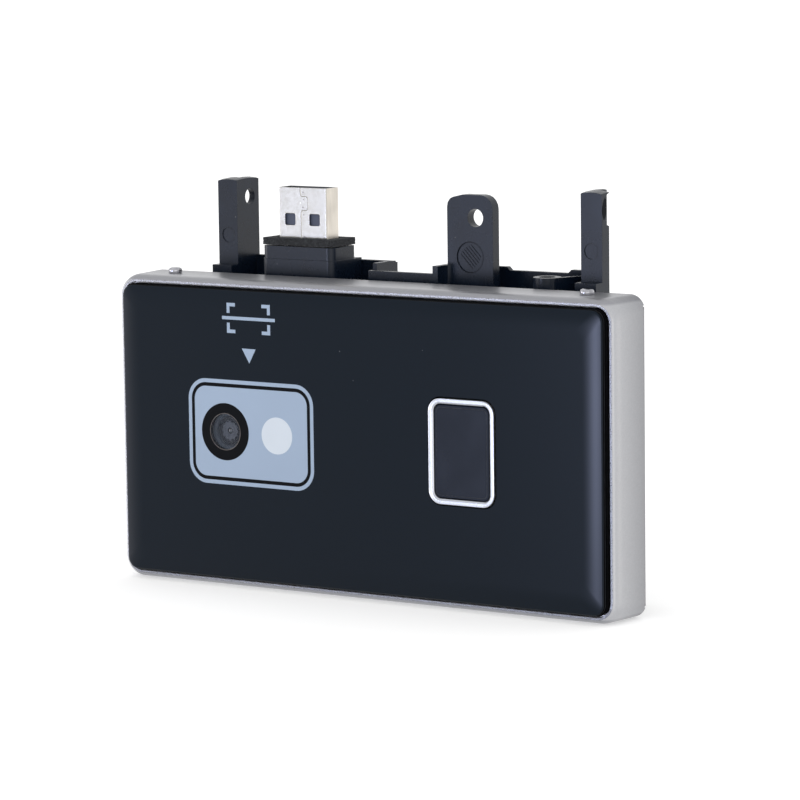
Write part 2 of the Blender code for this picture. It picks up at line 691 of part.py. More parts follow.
def screw(name, x, z, seat_y, side, head_d, head_h, shank_d, length):
    """Pan head screw on a seat: side is -1 where the head faces the front and 1 where it faces the back."""
    head_end = seat_y + side * head_h
    edge = seat_y + side * head_h * SCREW_CROWN_START
    profile = [(shank_d / 2, seat_y - side * length), (shank_d / 2, seat_y), (head_d / 2, seat_y),
               (head_d / 2, edge), (head_d * SCREW_CROWN_SHARE / 2, head_end)]
    thing = turned(name, profile, "y", x, z, sides=SMALL_SIDES)
    depth = head_h * SCREW_CROSS_SHARE
    low, high = sorted((head_end + side * OVERCUT, head_end - side * depth))
    half_long = head_d * SCREW_CROSS_LONG / 2
    half_wide = head_d * SCREW_CROSS_WIDE / 2
    cut(thing,
        prism(f"{name} slot", rectangle(x - half_long, z - half_wide, x + half_long, z + half_wide), "y",
              low, high),
        prism(f"{name} cross", rectangle(x - half_wide, z - half_long, x + half_wide, z + half_long), "y",
              low, high))
    return thing


def rear_housing():
    """Black moulding: lid plate in the shell, deep box, fastening posts, tab and low walls."""
    lid_w = SHELL_W - 2 * SHELL_WALL - 2 * FIT_GAP
    lid_h = SHELL_H - 2 * SHELL_WALL - 2 * FIT_GAP
    housing = prism("rear_housing", rounded(0, MIDDLE_Z, lid_w, lid_h, CAVITY_RADIUS), "y",
                    LID_FRONT_Y, LID_BACK_Y, "black_plastic")
    lip_z = RELIEF_END_Z + FIT_GAP
    lip = rectangle(-SHELL_W / 2 + LIP_INSET, lip_z, SHELL_W / 2 - LIP_INSET, SHELL_H - lip_z)
    box_outline = rounded(0, BOX_TOP_Z / 2, BOX_W, BOX_TOP_Z, BOX_RADIUS)
    lip_front = SHELL_DEPTH - BACK_RELIEF + FIT_GAP
    join(housing,
         prism("housing lip", lip, "y", lip_front, lip_front + LIP_THICKNESS),
         prism("housing box", box_outline, "y", SHELL_DEPTH + FIT_GAP, BOX_BACK_Y),
         *top_walls(), *middle_tab())
    for side in (-1, 1):
        join(housing, *post(side))
        cut(housing, post_crown(side))
    room = rectangle(-BOX_W / 2 + HOUSING_WALL, HOUSING_WALL, BOX_W / 2 - HOUSING_WALL,
                     BOX_TOP_Z - HOUSING_WALL)
    cut(housing, prism("housing room", room, "y", LID_FRONT_Y - OVERCUT, BOX_FLOOR_Y))
    return housing


def finish_housing(housing):
    """Standoffs and every hole of the housing."""
    standoff_front = MAIN_BOARD_FRONT_Y + BOARD_THICKNESS + FIT_GAP
    for x, z in main_board_holes():
        join(housing, prism("standoff", circle(x, z, STANDOFF_D), "y", standoff_front,
                            BOX_FLOOR_Y + OVERCUT))
        bore(housing, "y", x, z, BOARD_SCREW_HOLE_D, standoff_front - OVERCUT, BOX_FLOOR_Y)
    for k, (x, z) in enumerate(shell_screw_places(), 1):
        bore(housing, "y", x, z, SCREW_HOLE_D, LID_FRONT_Y - OVERCUT, LID_BACK_Y + OVERCUT)
        screw(f"shell_screw_{k}", x, z, LID_BACK_Y + PIN_SEAT_GAP, 1, SCREW_HEAD_D, SCREW_HEAD_H,
              SCREW_SHANK_D, SHELL_SCREW_L)
    for side in (-1, 1):
        outer = side * POST_OUTER_X
        inner = side * (POST_OUTER_X - POST_W)
        face = side * (POST_OUTER_X - POST_W + POST_PLATE)
        low, high = sorted((inner - side * OVERCUT, outer + side * OVERCUT))
        bore(housing, "x", POST_FRONT_Y + POST_HOLE_BACK, POST_TOP_Z - POST_HOLE_DOWN, POST_HOLE_D, low, high)
        low, high = sorted((face, outer + side * OVERCUT))
        bore(housing, "x", POST_FRONT_Y + POST_HEAD_BACK, POST_TOP_Z - POST_HEAD_DOWN, POST_HEAD_D, low, high)
        bore(housing, "y", side * (POST_OUTER_X - POST_EJECTOR_IN), POST_EJECTOR_Z, POST_EJECTOR_D,
             POST_FRONT_Y - OVERCUT, POST_FRONT_Y + EJECTOR_SUNK)
    hole_x = TAB_LEFT_X + TAB_W / 2 + TAB_HOLE_RIGHT
    bore(housing, "y", hole_x, TAB_TOP_Z - TAB_HOLE_DOWN, TAB_HOLE_D, POST_FRONT_Y - OVERCUT,
         POST_FRONT_Y + TAB_THICKNESS + OVERCUT)
    bore(housing, "y", TAB_LEFT_X + TAB_W / 2, EJECTOR_Z, EJECTOR_D, POST_FRONT_Y - OVERCUT,
         POST_FRONT_Y + EJECTOR_SUNK)
    bore(housing, "z", RING_X, RING_Y, RING_BORE_D, BOX_TOP_Z, RING_TOP_Z + OVERCUT)
    stem = rounded(PLUG_X, PLUG_Y, PLUG_STEM_W + 2 * FIT_GAP, PLUG_STEM_D + 2 * FIT_GAP, EDGE_ROUND)
    cut(housing, prism("plug slot", stem, "z", BOX_TOP_Z - HOUSING_WALL - OVERCUT, BOX_TOP_Z + OVERCUT))


def post(side):
    """One fastening post: a front bar with a deep side plate, and a foot ledge, on the left or the right."""
    back_y = POST_FRONT_Y + POST_DEPTH
    bar_back = POST_FRONT_Y + POST_BAR_DEPTH
    start = BOX_TOP_Z - POST_ROOT
    outer = side * POST_OUTER_X
    inner = side * (POST_OUTER_X - POST_W)
    face = side * (POST_OUTER_X - POST_W + POST_PLATE)
    outline = [(inner, POST_FRONT_Y), (outer, POST_FRONT_Y), (outer, bar_back), (face, bar_back),
               (face, back_y), (inner, back_y)]
    ledge = rectangle(POST_FRONT_Y - LEDGE_REACH, start, POST_FRONT_Y + FIT_GAP, LEDGE_TOP_Z)
    low, high = sorted((inner, outer))
    return [prism("post", outline, "z", start, POST_TOP_Z + OVERCUT),
            prism("post ledge", ledge, "x", low, high)]


def post_crown(side):
    """Helper that leaves a post with a top domed in both directions."""
    middle_x = POST_OUTER_X - POST_W + POST_CROWN_IN
    middle_y = POST_FRONT_Y + POST_CROWN_BACK
    reach_in = POST_CROWN_IN + OVERCUT
    reach_out = POST_W - POST_CROWN_IN + OVERCUT
    across = [-reach_in, -reach_in / 2, 0.0, reach_out / 3, reach_out * 2 / 3, reach_out]
    reach_front = POST_CROWN_BACK + OVERCUT
    reach_back = POST_DEPTH - POST_CROWN_BACK + OVERCUT
    rings = []
    for along in (-reach_front, -reach_front / 2, 0.0, reach_back / 2, reach_back):
        level = POST_TOP_Z - crown_drop(POST_CROWN_Y_RADIUS, along)
        ring = [(side * (middle_x + u), middle_y + along, level - crown_drop(POST_CROWN_X_RADIUS, u))
                for u in across]
        for u in (reach_out, -reach_in):
            ring.append((side * (middle_x + u), middle_y + along, POST_TOP_Z + 2 * OVERCUT))
        rings.append(ring)
    return loft("post crown", rings)


def crown_drop(radius, offset):
    """Return how far an arc has fallen beside its highest point."""
    return radius - math.sqrt(radius ** 2 - offset ** 2)


def middle_tab():
    """Flat tab with round top corners, and the gusset along its left edge."""
    start = BOX_TOP_Z - HOUSING_WALL / 2
    right = TAB_LEFT_X + TAB_W
    outline = [(TAB_LEFT_X, start), (right, start),
               *arc(right - TAB_RADIUS, TAB_TOP_Z - TAB_RADIUS, TAB_RADIUS, 0, 90, CORNER_STEPS),
               *[(TAB_LEFT_X + u, TAB_TOP_Z - down) for u, down in TAB_LEFT_CORNER]]
    left = TAB_LEFT_X - GUSSET_OUT
    back = POST_FRONT_Y + TAB_THICKNESS - CLIP_BREAK
    flare = [(left + GUSSET_W + u, FRONT_BAR_Y + v) for u, v in GUSSET_FLARE]
    inside = TAB_LEFT_X + GUSSET_FLARE[-1][0]
    gusset = [(left, FRONT_BAR_Y), (left + GUSSET_W, FRONT_BAR_Y), *flare, (inside, back), (left, back)]
    return [prism("tab", outline, "y", POST_FRONT_Y, POST_FRONT_Y + TAB_THICKNESS),
            prism("gusset", gusset, "z", start, GUSSET_TOP_Z)]


def top_walls():
    """Low front bar, clip rib, back walls and ring boss with its rib on top of the box."""
    start = BOX_TOP_Z - HOUSING_WALL / 2
    wall_back = BACK_WALL_Y + BACK_WALL_T
    post_inner = POST_OUTER_X - POST_W
    step = BACK_WALL_TOP_Z - BACK_WALL_LOW_Z
    wall_left = TAB_LEFT_X + RIGHT_WALL_IN
    low_start = TAB_LEFT_X + LOW_WALL_LEFT
    low_end = post_inner - LOW_WALL_RIGHT
    right_wall = [(wall_left, start), (post_inner + RIB, start), (post_inner + RIB, BACK_WALL_TOP_Z),
                  (low_end + step, BACK_WALL_TOP_Z), (low_end, BACK_WALL_LOW_Z), (low_start, BACK_WALL_LOW_Z),
                  (low_start - step, BACK_WALL_TOP_Z), (wall_left, BACK_WALL_TOP_Z)]
    clip = [(CLIP_FRONT_Y, start), (CLIP_BACK_Y, start), (CLIP_BACK_Y, CLIP_BACK_TOP_Z),
            (CLIP_SLOPE_Y, CLIP_TOP_Z), (CLIP_FRONT_Y + CLIP_BREAK, CLIP_TOP_Z),
            (CLIP_FRONT_Y, CLIP_TOP_Z - CLIP_BREAK)]
    lean = math.radians(RING_RIB_LEAN)
    rib = []
    for side, along in ((0.0, 0.0), (0.0, RING_RIB_LENGTH), (RING_RIB_T, RING_RIB_LENGTH), (RING_RIB_T, 0.0)):
        out = RING_D / 2 - RING_RIB_SUNK - side
        rib.append((RING_X + out * math.sin(lean) + along * math.cos(lean),
                    RING_Y - out * math.cos(lean) + along * math.sin(lean)))
    return [block("front bar", (FRONT_BAR_LEFT_X, FRONT_BAR_Y, start),
                  (TAB_LEFT_X - RIB / 2, FRONT_BAR_Y + FRONT_BAR_T, FRONT_BAR_TOP_Z)),
            prism("clip rib", clip, "x", CLIP_LEFT_X, CLIP_LEFT_X + RIB),
            block("left wall", (-post_inner - RIB, BACK_WALL_Y, start),
                  (CLIP_LEFT_X + RIB / 2, wall_back, BACK_WALL_TOP_Z)),
            prism("right wall", right_wall, "y", BACK_WALL_Y, wall_back),
            prism("ring boss", circle(RING_X, RING_Y, RING_D), "z", start, RING_TOP_Z),
            prism("ring rib", rib, "z", start, RING_TOP_Z)]


def plug():
    """Two-step plug base, foam gasket, steel plug shell, tongue and contacts."""
    low_top = PLUG_BASE_STEP_Z
    seat = BOX_TOP_Z + FIT_GAP
    base_outline = rounded(PLUG_X, PLUG_Y, PLUG_BASE_W, PLUG_BASE_D, PLUG_BASE_RADIUS)
    step_outline = rounded(PLUG_X, PLUG_Y, PLUG_BASE_W - 2 * PLUG_STEP_INSET,
                           PLUG_BASE_D - 2 * PLUG_STEP_INSET, PLUG_BASE_RADIUS)
    stem_outline = rounded(PLUG_X, PLUG_Y, PLUG_STEM_W, PLUG_STEM_D, EDGE_ROUND)
    base = prism("plug_base", base_outline, "z", seat, low_top, "black_plastic")
    shell_outline = rounded(PLUG_X, PLUG_Y, USB_W, USB_D, USB_RADIUS)
    hole = rounded(PLUG_X, PLUG_Y, USB_W + 2 * FIT_GAP, USB_D + 2 * FIT_GAP, USB_RADIUS)
    foot = rectangle(PLUG_X - PLUG_BASE_W / 2, PLUG_Y, PLUG_X + PLUG_BASE_W / 2, BACK_WALL_Y - FIT_GAP)
    join(base,
         prism("plug foot", foot, "z", seat, low_top),
         prism("plug step", step_outline, "z", low_top - OVERCUT, PLUG_BASE_TOP_Z),
         prism("plug stem", stem_outline, "z", PLUG_STEM_Z, seat + OVERCUT))
    cut(base, prism("plug socket", hole, "z", USB_BOTTOM_Z - FIT_GAP, PLUG_BASE_TOP_Z + OVERCUT))

    foam_start = PLUG_BASE_TOP_Z + FOAM_GAP
    foam_outline = rounded(PLUG_X, PLUG_Y, PLUG_BASE_W - 2 * FOAM_INSET, PLUG_BASE_D - 2 * FOAM_INSET,
                           FOAM_RADIUS)
    foam = prism("foam_gasket", foam_outline, "z", foam_start, foam_start + FOAM_THICKNESS, "foam")
    cut(foam, prism("foam hole", hole, "z", foam_start - OVERCUT, foam_start + FOAM_THICKNESS + OVERCUT))

    shell = prism("usb_shell", shell_outline, "z", USB_BOTTOM_Z, USB_TOP_Z, "plug_steel")
    inside = rounded(PLUG_X, PLUG_Y, USB_W - 2 * USB_SHEET, USB_D - 2 * USB_SHEET, USB_RADIUS / 2)
    cut(shell, prism("usb inside", inside, "z", USB_BOTTOM_Z - OVERCUT, USB_TOP_Z + OVERCUT))
    window_top = USB_TOP_Z - USB_WINDOW_DOWN
    for side in (-1, 1):
        x = PLUG_X + side * USB_WINDOW_APART / 2
        outline = rectangle(x - USB_WINDOW_W / 2, window_top - USB_WINDOW_H, x + USB_WINDOW_W / 2, window_top)
        cut(shell, prism("usb window", outline, "y", PLUG_Y - USB_D, PLUG_Y + USB_D))

    tongue_front = PLUG_Y - USB_D / 2 + USB_SHEET + FILM_GAP
    tongue_back = tongue_front + TONGUE_T
    half = USB_W / 2 - USB_SHEET - FIT_GAP
    tongue_top = USB_TOP_Z - TONGUE_DOWN
    block("usb_tongue", (PLUG_X - half, tongue_front, USB_BOTTOM_Z), (PLUG_X + half, tongue_back, tongue_top),
          "black_plastic")
    contact_front = tongue_back + CONTACT_GAP
    contact_top = tongue_top - CONTACT_DOWN
    for k in range(4):
        x = PLUG_X + (k - 1.5) * CONTACT_PITCH
        block(f"usb_contact_{k + 1}", (x - CONTACT_W / 2, contact_front, contact_top - CONTACT_LENGTH),
              (x + CONTACT_W / 2, contact_front + CONTACT_T, contact_top), "gold")
    board_bottom = PLUG_SOCKET_Z + PLUG_SOCKET_H / 2 + FIT_GAP
    block("plug_board", (PLUG_X - PLUG_BOARD_W / 2, PLUG_Y - BOARD_THICKNESS / 2, board_bottom),
          (PLUG_X + PLUG_BOARD_W / 2, PLUG_Y + BOARD_THICKNESS / 2, PLUG_STEM_Z - FIT_GAP), "board_green")


def sensor_ribbon(start_y):
    """Flat ribbon from the fingerprint board to the main board."""
    low = SENSOR_Z - RIBBON_W / 2
    front = start_y + FIT_GAP
    back = MAIN_BOARD_FRONT_Y - FIT_GAP
    outline = [(SENSOR_X, front), (SENSOR_X + RIBBON_RUN, front), (SENSOR_X + RIBBON_RUN, back),
               (SENSOR_X, back), (SENSOR_X, back - RIBBON_T),
               (SENSOR_X + RIBBON_RUN - RIBBON_T, back - RIBBON_T),
               (SENSOR_X + RIBBON_RUN - RIBBON_T, front + RIBBON_T), (SENSOR_X, front + RIBBON_T)]
    return prism("sensor_ribbon", outline, "z", low, low + RIBBON_W, "ribbon_amber")


def build():
    """Make every piece."""
    clear_scene()
    front_shell()
    cover_glass()
    glass_tape()
    glass_carrier()
    shell_pins()
    sensor_ribbon(fingerprint_reader())
    board_front = camera()
    lamp(board_front)
    boards(board_front)
    housing = rear_housing()
    finish_housing(housing)
    plug()


build()
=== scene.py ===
"""Looks of the add-on access reader: finer shapes, finishes, printed lines, light and camera.

Sizes are in millimetres, with depths counted from the shell's front rim, as in the part's source.
"""

import math

import bmesh
import bpy
from mathutils import Matrix, Vector, noise


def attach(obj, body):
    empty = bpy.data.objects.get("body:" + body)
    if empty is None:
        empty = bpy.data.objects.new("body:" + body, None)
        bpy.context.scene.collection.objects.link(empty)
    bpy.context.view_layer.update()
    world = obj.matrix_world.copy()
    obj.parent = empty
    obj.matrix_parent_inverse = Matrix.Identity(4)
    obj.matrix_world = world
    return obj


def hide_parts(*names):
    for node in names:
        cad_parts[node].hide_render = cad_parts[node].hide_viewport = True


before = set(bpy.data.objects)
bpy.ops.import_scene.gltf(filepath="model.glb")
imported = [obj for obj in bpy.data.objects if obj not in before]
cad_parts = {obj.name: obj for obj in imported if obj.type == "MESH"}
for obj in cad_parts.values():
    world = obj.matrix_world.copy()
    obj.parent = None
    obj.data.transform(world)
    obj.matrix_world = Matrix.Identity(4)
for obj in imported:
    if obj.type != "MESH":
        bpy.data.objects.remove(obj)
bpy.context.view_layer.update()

MM = 0.001

# Depth of the shared frame's origin behind the rim, and the middle height of shell and glass
MIDDLE_Y = 11.875
MIDDLE_Z = 31.9

# Shell, with offsets counted outwards from the opening
OPENING_W = 116.8
OPENING_H = 60.9
OPENING_RADIUS = 3.2
RIM_ROUND = 0.04
RIM_END = 0.44
RIM_PAINT_Y = 0.03
# Height below which the cut rim takes a darker copy of its finish, as painted shade
RIM_LOW_Z = 3.5
FLARE_START = 0.5
FLARE = 1.45
FLARE_DEPTH = 2.56
FLARE_STEPS = 14
WALL_LEVELS = (4.0, 6.0, 8.0, 10.0)
WALL_T = 1.8
WALL_RADIUS = 1.2
FRONT_CORNER = 4.65
BACK_CORNER = 3.2
SHELL_H = 63.8
SHELL_BACK_Y = 11.4
LEDGE = 2.5
LEDGE_RADIUS = 2.0
LEDGE_FRONT_Y = 1.3
LEDGE_BACK_Y = 2.8
RELIEF_X = 70
RELIEF_Y = 11.0
RELIEF_END_Z = 2.1
RELIEF_PAST = 2

# Where painted shade darkens the fillets, as heights above and below the middle
FILLET_START = 30.6
FILLET_END = 31.9

# Glass, with insets counted inwards from its edge
GLASS_W = 115.6
GLASS_H = 59.85
GLASS_RADIUS = 2.5
GLASS_FRONT_Y = -1.7
GLASS_BACK_Y = -0.7
BORDER_IN = 4.6
BORDER_DROP = 0.2
BORDER_POWER = 2.2
BORDER_STEPS = 14
EDGE_IN = 0.42
EDGE_DEPTH = 0.4
EDGE_STEPS = 7
EDGE_PAINT_Y = GLASS_FRONT_Y + 0.35
EDGE_LINE_FRONT_Y = -0.98
EDGE_LINE_BACK_Y = -0.84
THROUGH_GLASS = (-3, 1)

# Places on the glass
LENS = (-31.81, 32.52)
DOT = (-18.89, 32.49)
SENSOR = (25.65, 32.1)
WINDOW = (-25.39, 32.45)

# Prints
PRINT_T = 0.014
DARK_PRINT_IN = 0.003
DOT_PRINT_OUT = 0.006
WINDOW_W = 31.15
WINDOW_H = 21.75
WINDOW_RADIUS = 4.35
WINDOW_LINE_IN = 0.8
WINDOW_FILL_IN = 1.55
DOT_D = 7.6
LENS_RING_D = 11.87
LENS_EDGE_D = 7.65
LENS_LINE_D = 7.48
LENS_HOLE_D = 7.45
ARROW = ((-27.27, 49.99), (-25.46, 46.98), (-23.82, 49.95))
SIGN_LEFT_X = -30.91
SIGN_RIGHT_X = -20.11
SIGN_LOW_Z = 53.02
SIGN_HIGH_Z = 59.22
BRACKET_REACH = 2.1
BRACKET_WIDTH = 0.72
SCAN_LINE_LOW_Z = 55.78
SCAN_LINE_HIGH_Z = 56.46
SCAN_LINE_PAST = 1.2

# Lens: profile of the well as (radius, depth), disc and pupil
LENS_WINDOW_R = 3.68
LENS_WINDOW_IN = (0.02, 0.4)
LENS_WELL = ((5.8, -0.4), (4.2, -0.4), (3.72, -0.38), (3.3, -0.3), (3.2, -0.2), (3.1, 0.3),
             (2.9, 0.34), (0.4, 0.36), (0.4, 6.0), (4.7, 6.0), (4.7, -0.1), (5.8, -0.1))
LENS_FLOOR_Y = 0.31
DISC_R = 2.03
DISC_NOTCH_R = 1.78
DISC_HOLE_D = 1.3
DISC_FRONT_Y = 0.02
DISC_T = 0.32
DISC_NOTCHES = 12
NOTCH_STEPS = 12
NOTCH_FROM = 4
NOTCH_TO = 8
PUPIL_R = 0.6
PUPIL_Y = 0.26
PUPIL_RISE = 0.2
PUPIL_FOOT = (0.64, 0.32)
PUPIL_STEPS = 8

# Fingerprint reader
BEZEL_W = 15.3
BEZEL_H = 21.2
BEZEL_RADIUS = 2.7
BEZEL_GAP = 0.3
BEZEL_FRONT_Y = -2.05
BEZEL_BACK_Y = -0.55
PAD_STEPS = ((1.3, -1.0), (1.3, -1.66), (1.42, -1.8), (1.6, -1.8))
PAD_LINE_OUTER = (11.75, 17.65, 0.9)
PAD_LINE_INNER = (11.6, 17.5, 0.85)
PAD_LINE_Y = -1.812

# Pins, with a profile as (radius, height)
PIN_X = 49.75
PIN_Y = 6.4
PIN_STEM = ((0.9, 60.6), (0.9, 63.85), (1.4, 63.9), (1.42, 64.0), (1.42, 64.42))
PIN_DOME_Z = 64.42
PIN_DOME_RISE = 0.58
PIN_DOME_FLAT_R = 0.55
PIN_DOME_ROUND_R = 0.87
PIN_DOME_STEPS = 9
PIN_TOP = (0.3, 65.03)

# Rear moulding and plug base
MOULDING_EDGE = 0.16
FOOT_EDGE = 0.14
POST_FRONT_Y = 17.7
# Dark sheet on the floor of the right post's side recess, standing for its shade: painted shade
RECESS_FLOOR = (21.65, 79.25, 7.6, 6.5, 3.0)
RECESS_X = (43.14, 43.2)
TAB_MARK = (15.825, 68.75)
TAB_MARK_OUTER_D = 6.36
TAB_MARK_INNER_D = 6.12
TAB_LINES = 6
TAB_LINES_START = -1.2
TAB_LINES_STEP = 0.62
TAB_LINES_R = 3.0
TAB_LINES_SHARE = 0.72
TAB_LINES_TURN = (0.72, 0.69)
TAB_LINE_HALF = 0.035
TAB_LINES_IN = 0.09
TAB_LINES_T = 0.08
POST_MARK_X = 44.1
POST_MARK_Z = 71.1
POST_MARK_OUTER_D = 3.26
POST_MARK_INNER_D = 3.1
MARK_OUT = 0.01
MARK_T = 0.02

# Plug and its foam
PLUG_X = -23.9
PLUG_Y = 18.2
USB_TOP_Z = 81.7
USB_BOTTOM_Z = 62.0
USB_W = 12.0
USB_D = 4.5
USB_RADIUS = 0.3
USB_SHEET = 0.3
USB_INNER_RADIUS = 0.15
USB_EDGE = 0.09
USB_WINDOWS_X = (-27.02, -20.92)
USB_WINDOW = (75.1, 2.62, 2.42, 0.42)
USB_WINDOW_REACH = 4
SEAM = ((-24.3, 69.0), (-24.3, 76.6), (-24.0, 77.0), (-22.9, 77.05), (-22.55, 77.4),
        (-22.55, 79.5), (-22.9, 79.85), (-24.1, 79.9), (-24.45, 80.3), (-24.45, 82.5))
SEAM_HALF = 0.09
SEAM_FROM = 2.5
SEAM_TO = 2.08
USB_INSIDE_X = 5.75
USB_INSIDE_Y = 1.98
USB_SIDE_NORMAL = 0.93
PLUG_MARKS = ((-23.7, 80.75, 0.34), (-23.6, 79.25, 0.3), (-23.8, 77.6, 0.34), (-23.6, 76.1, 0.3),
              (-23.4, 71.5, 0.45))
PLUG_MARK_OUT = 2.262
FOAM_OUTER = (17.8, 9.0, 0.6)
FOAM_INNER = (12.6, 5.1, 0.5)
FOAM_LOW_Z = 69.78
FOAM_TOP_Z = 71.35
FOAM_GRAIN = 0.32
FOAM_SPLITS = 3
FOAM_SHRINK = 0.1
FOAM_LUMPS = ((2.1, 0.09), (5.0, 0.06))

# Floor, a hair under the reader
FLOOR_Z = -0.03 * MM
FLOOR_HALF = 6
FLOOR_SHADE = 0.8
FLOOR_LIFT = 0.4

# Soft lights of the white room, unseen by the camera: name, direction, sharpness, brightness
ROOM = (
    ("key", (-0.372, -0.921, -0.113), 250, (9.0, 10.0, 14.5)),
    ("left", (-0.860, -0.496, -0.122), 40, (4.0, 3.9, 4.2)),
    ("right_front", (0.677, -0.726, -0.122), 12, (0.7, 0.68, 0.65)),
    ("right", (0.813, 0.569, -0.122), 20, (0.3, 0.28, 0.25)),
)
ROOM_BASE = (1.0, 1.0, 1.0)

# Camera, fitted to the photograph's straight edges
YAW = 0.582052897
PITCH = 0.130290459
ROLL = -0.0127907987
CAMERA_OFFSET = (-8.49401122, -8.80342834, 779.969279)
CAMERA_AIM = (-0.2, -MIDDLE_Y, 31.95)
FOCAL_PX = 3875
PHOTO_PX = 800
FILM_W = 36.0


# Meshes

def point(x, y, z):
    """Turn millimetres counted from the front rim into the shared frame."""
    return Vector((x, y - MIDDLE_Y, z)) * MM


def piece(name, mesh, materials, stands_for=(), sharp=32):
    """Make an object that rides on the one body."""
    thing = bpy.data.objects.new(name, mesh)
    bpy.context.scene.collection.objects.link(thing)
    for material in materials:
        mesh.materials.append(material)
    mesh.shade_smooth()
    mesh.set_sharp_from_angle(angle=math.radians(sharp))
    step = thing.modifiers.new("flat_faces_stay_flat", "WEIGHTED_NORMAL")
    step.weight = 100
    step.keep_sharp = True
    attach(thing, "root")
    if stands_for:
        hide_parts(*stands_for)


def choose_finish(mesh, choose):
    """Give each face the material picked by a function of its middle (x, depth, z) and normal."""
    for polygon in mesh.polygons:
        x, y, z = polygon.center / MM
        polygon.material_index = choose(x, y + MIDDLE_Y, z, polygon.normal)


def mesh_from(name, points, faces):
    """Make a mesh with its faces turned outwards."""
    mesh = bpy.data.meshes.new(name)
    mesh.from_pydata([point(*p) for p in points], [], faces)
    work = bmesh.new()
    work.from_mesh(mesh)
    bmesh.ops.recalc_face_normals(work, faces=work.faces)
    work.to_mesh(mesh)
    work.free()
    return mesh


def loft(name, rings, closed=False):
    """Skin equal rings, either round into a loop or with a cap at both ends."""
    count = len(rings[0])
    points = [p for ring in rings for p in ring]
    faces = []
    levels = len(rings) if closed else len(rings) - 1
    for level in range(levels):
        low = level * count
        high = (level + 1) % len(rings) * count
        for k in range(count):
            after = (k + 1) % count
            faces.append((low + k, low + after, high + after, high + k))
    if not closed:
        faces.append(tuple(range(count)))
        faces.append(tuple(range(len(points) - count, len(points))))
    return mesh_from(name, points, faces)


def arc(u, v, radius, start, end, steps):
    """Return points on an arc, angles in degrees."""
    return [(u + radius * math.cos(math.radians(start + (end - start) * k / steps)),
             v + radius * math.sin(math.radians(start + (end - start) * k / steps)))
            for k in range(steps + 1)]


def rounded(u, v, width, height, radius, steps=10):
    """Return a rounded rectangle about a centre."""
    across = width / 2 - radius
    up = height / 2 - radius
    points = []
    for side_u, side_v, start in ((1, 1, 0), (-1, 1, 90), (-1, -1, 180), (1, -1, 270)):
        points += arc(u + side_u * across, v + side_v * up, radius, start, start + 90, steps)
    return points


def circle(u, v, diameter, sides=64):
    """Return a circle's points."""
    return arc(u, v, diameter / 2, 0, 360 - 360 / sides, sides - 1)


def ring_at(outline, along, axis="y"):
    """Stand an outline across an axis, at a place along it."""
    if axis == "x":
        return [(along, u, v) for u, v in outline]
    if axis == "y":
        return [(u, along, v) for u, v in outline]
    return [(u, v, along) for u, v in outline]


def turned(profile, u, v, axis="y", sides=64):
    """Return rings of a profile of (radius, place along the axis)."""
    return [ring_at(circle(u, v, 2 * radius, sides), along, axis) for radius, along in profile]


def prism(name, outline, start, end, axis="y"):
    """Extrude an outline along an axis."""
    return loft(name, [ring_at(outline, along, axis) for along in (start, end)])


def flat_print(name, groups, y_front, thickness):
    """Make thin plates that face the front: each group is an outline and its holes."""
    work = bmesh.new()
    for group in groups:
        edges = []
        for outline in group:
            verts = [work.verts.new(point(u, y_front, v)) for u, v in outline]
            edges += [work.edges.new(pair) for pair in zip(verts, verts[1:] + verts[:1])]
        filled = bmesh.ops.triangle_fill(work, use_beauty=True, use_dissolve=False, edges=edges)
        faces = [part for part in filled["geom"] if isinstance(part, bmesh.types.BMFace)]
        raised = bmesh.ops.extrude_face_region(work, geom=faces)
        moved = [part for part in raised["geom"] if isinstance(part, bmesh.types.BMVert)]
        bmesh.ops.translate(work, verts=moved, vec=(0, thickness * MM, 0))
    bmesh.ops.recalc_face_normals(work, faces=work.faces)
    mesh = bpy.data.meshes.new(name)
    work.to_mesh(mesh)
    work.free()
    return mesh


def shaped(mesh, *cutters, bevel=0.0):
    """Cut other meshes out of a mesh, and round what edges are left sharp."""
    helper = bpy.data.objects.new("helper", mesh)
    bpy.context.scene.collection.objects.link(helper)
    tools = []
    for cutter in cutters:
        tool = bpy.data.objects.new("cutter", cutter)
        bpy.context.scene.collection.objects.link(tool)
        tools.append(tool)
        step = helper.modifiers.new("cut", "BOOLEAN")
        step.operation = "DIFFERENCE"
        step.solver = "EXACT"
        step.object = tool
    if bevel:
        step = helper.modifiers.new("edges", "BEVEL")
        step.width = bevel * MM
        step.segments = 2
        step.limit_method = "ANGLE"
        step.angle_limit = math.radians(35)
        step.use_clamp_overlap = True
    depsgraph = bpy.context.evaluated_depsgraph_get()
    result = bpy.data.meshes.new_from_object(helper.evaluated_get(depsgraph))
    for thing in (helper, *tools):
        bpy.data.objects.remove(thing, do_unlink=True)
    return result


def rounded_copy(node, width):
    """Copy a node's mesh, join its flat faces and round its edges."""
    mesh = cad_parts[node].data.copy()
    mesh.materials.clear()
    work = bmesh.new()
    work.from_mesh(mesh)
    bmesh.ops.remove_doubles(work, verts=work.verts, dist=0.002 * MM)
    bmesh.ops.dissolve_limit(work, angle_limit=math.radians(0.6), verts=work.verts,
                             edges=work.edges)
    bmesh.ops.recalc_face_normals(work, faces=work.faces)
    work.to_mesh(mesh)
    work.free()
    return shaped(mesh, bevel=width)


# Nodes

def put(tree, value, socket):
    """Link an output to a socket, or set a constant on it."""
    if isinstance(value, bpy.types.NodeSocket):
        tree.links.new(value, socket)
    else:
        socket.default_value = value


def mixed(tree, first, second, factor=1.0, blend="MIX"):
    """Mix two colours."""
    mix = tree.nodes.new("ShaderNodeMix")
    mix.data_type = "RGBA"
    mix.blend_type = blend
    for key, value in (("Factor", factor), ("A", first), ("B", second)):
        put(tree, value, mix.inputs[key])
    return mix.outputs["Result"]


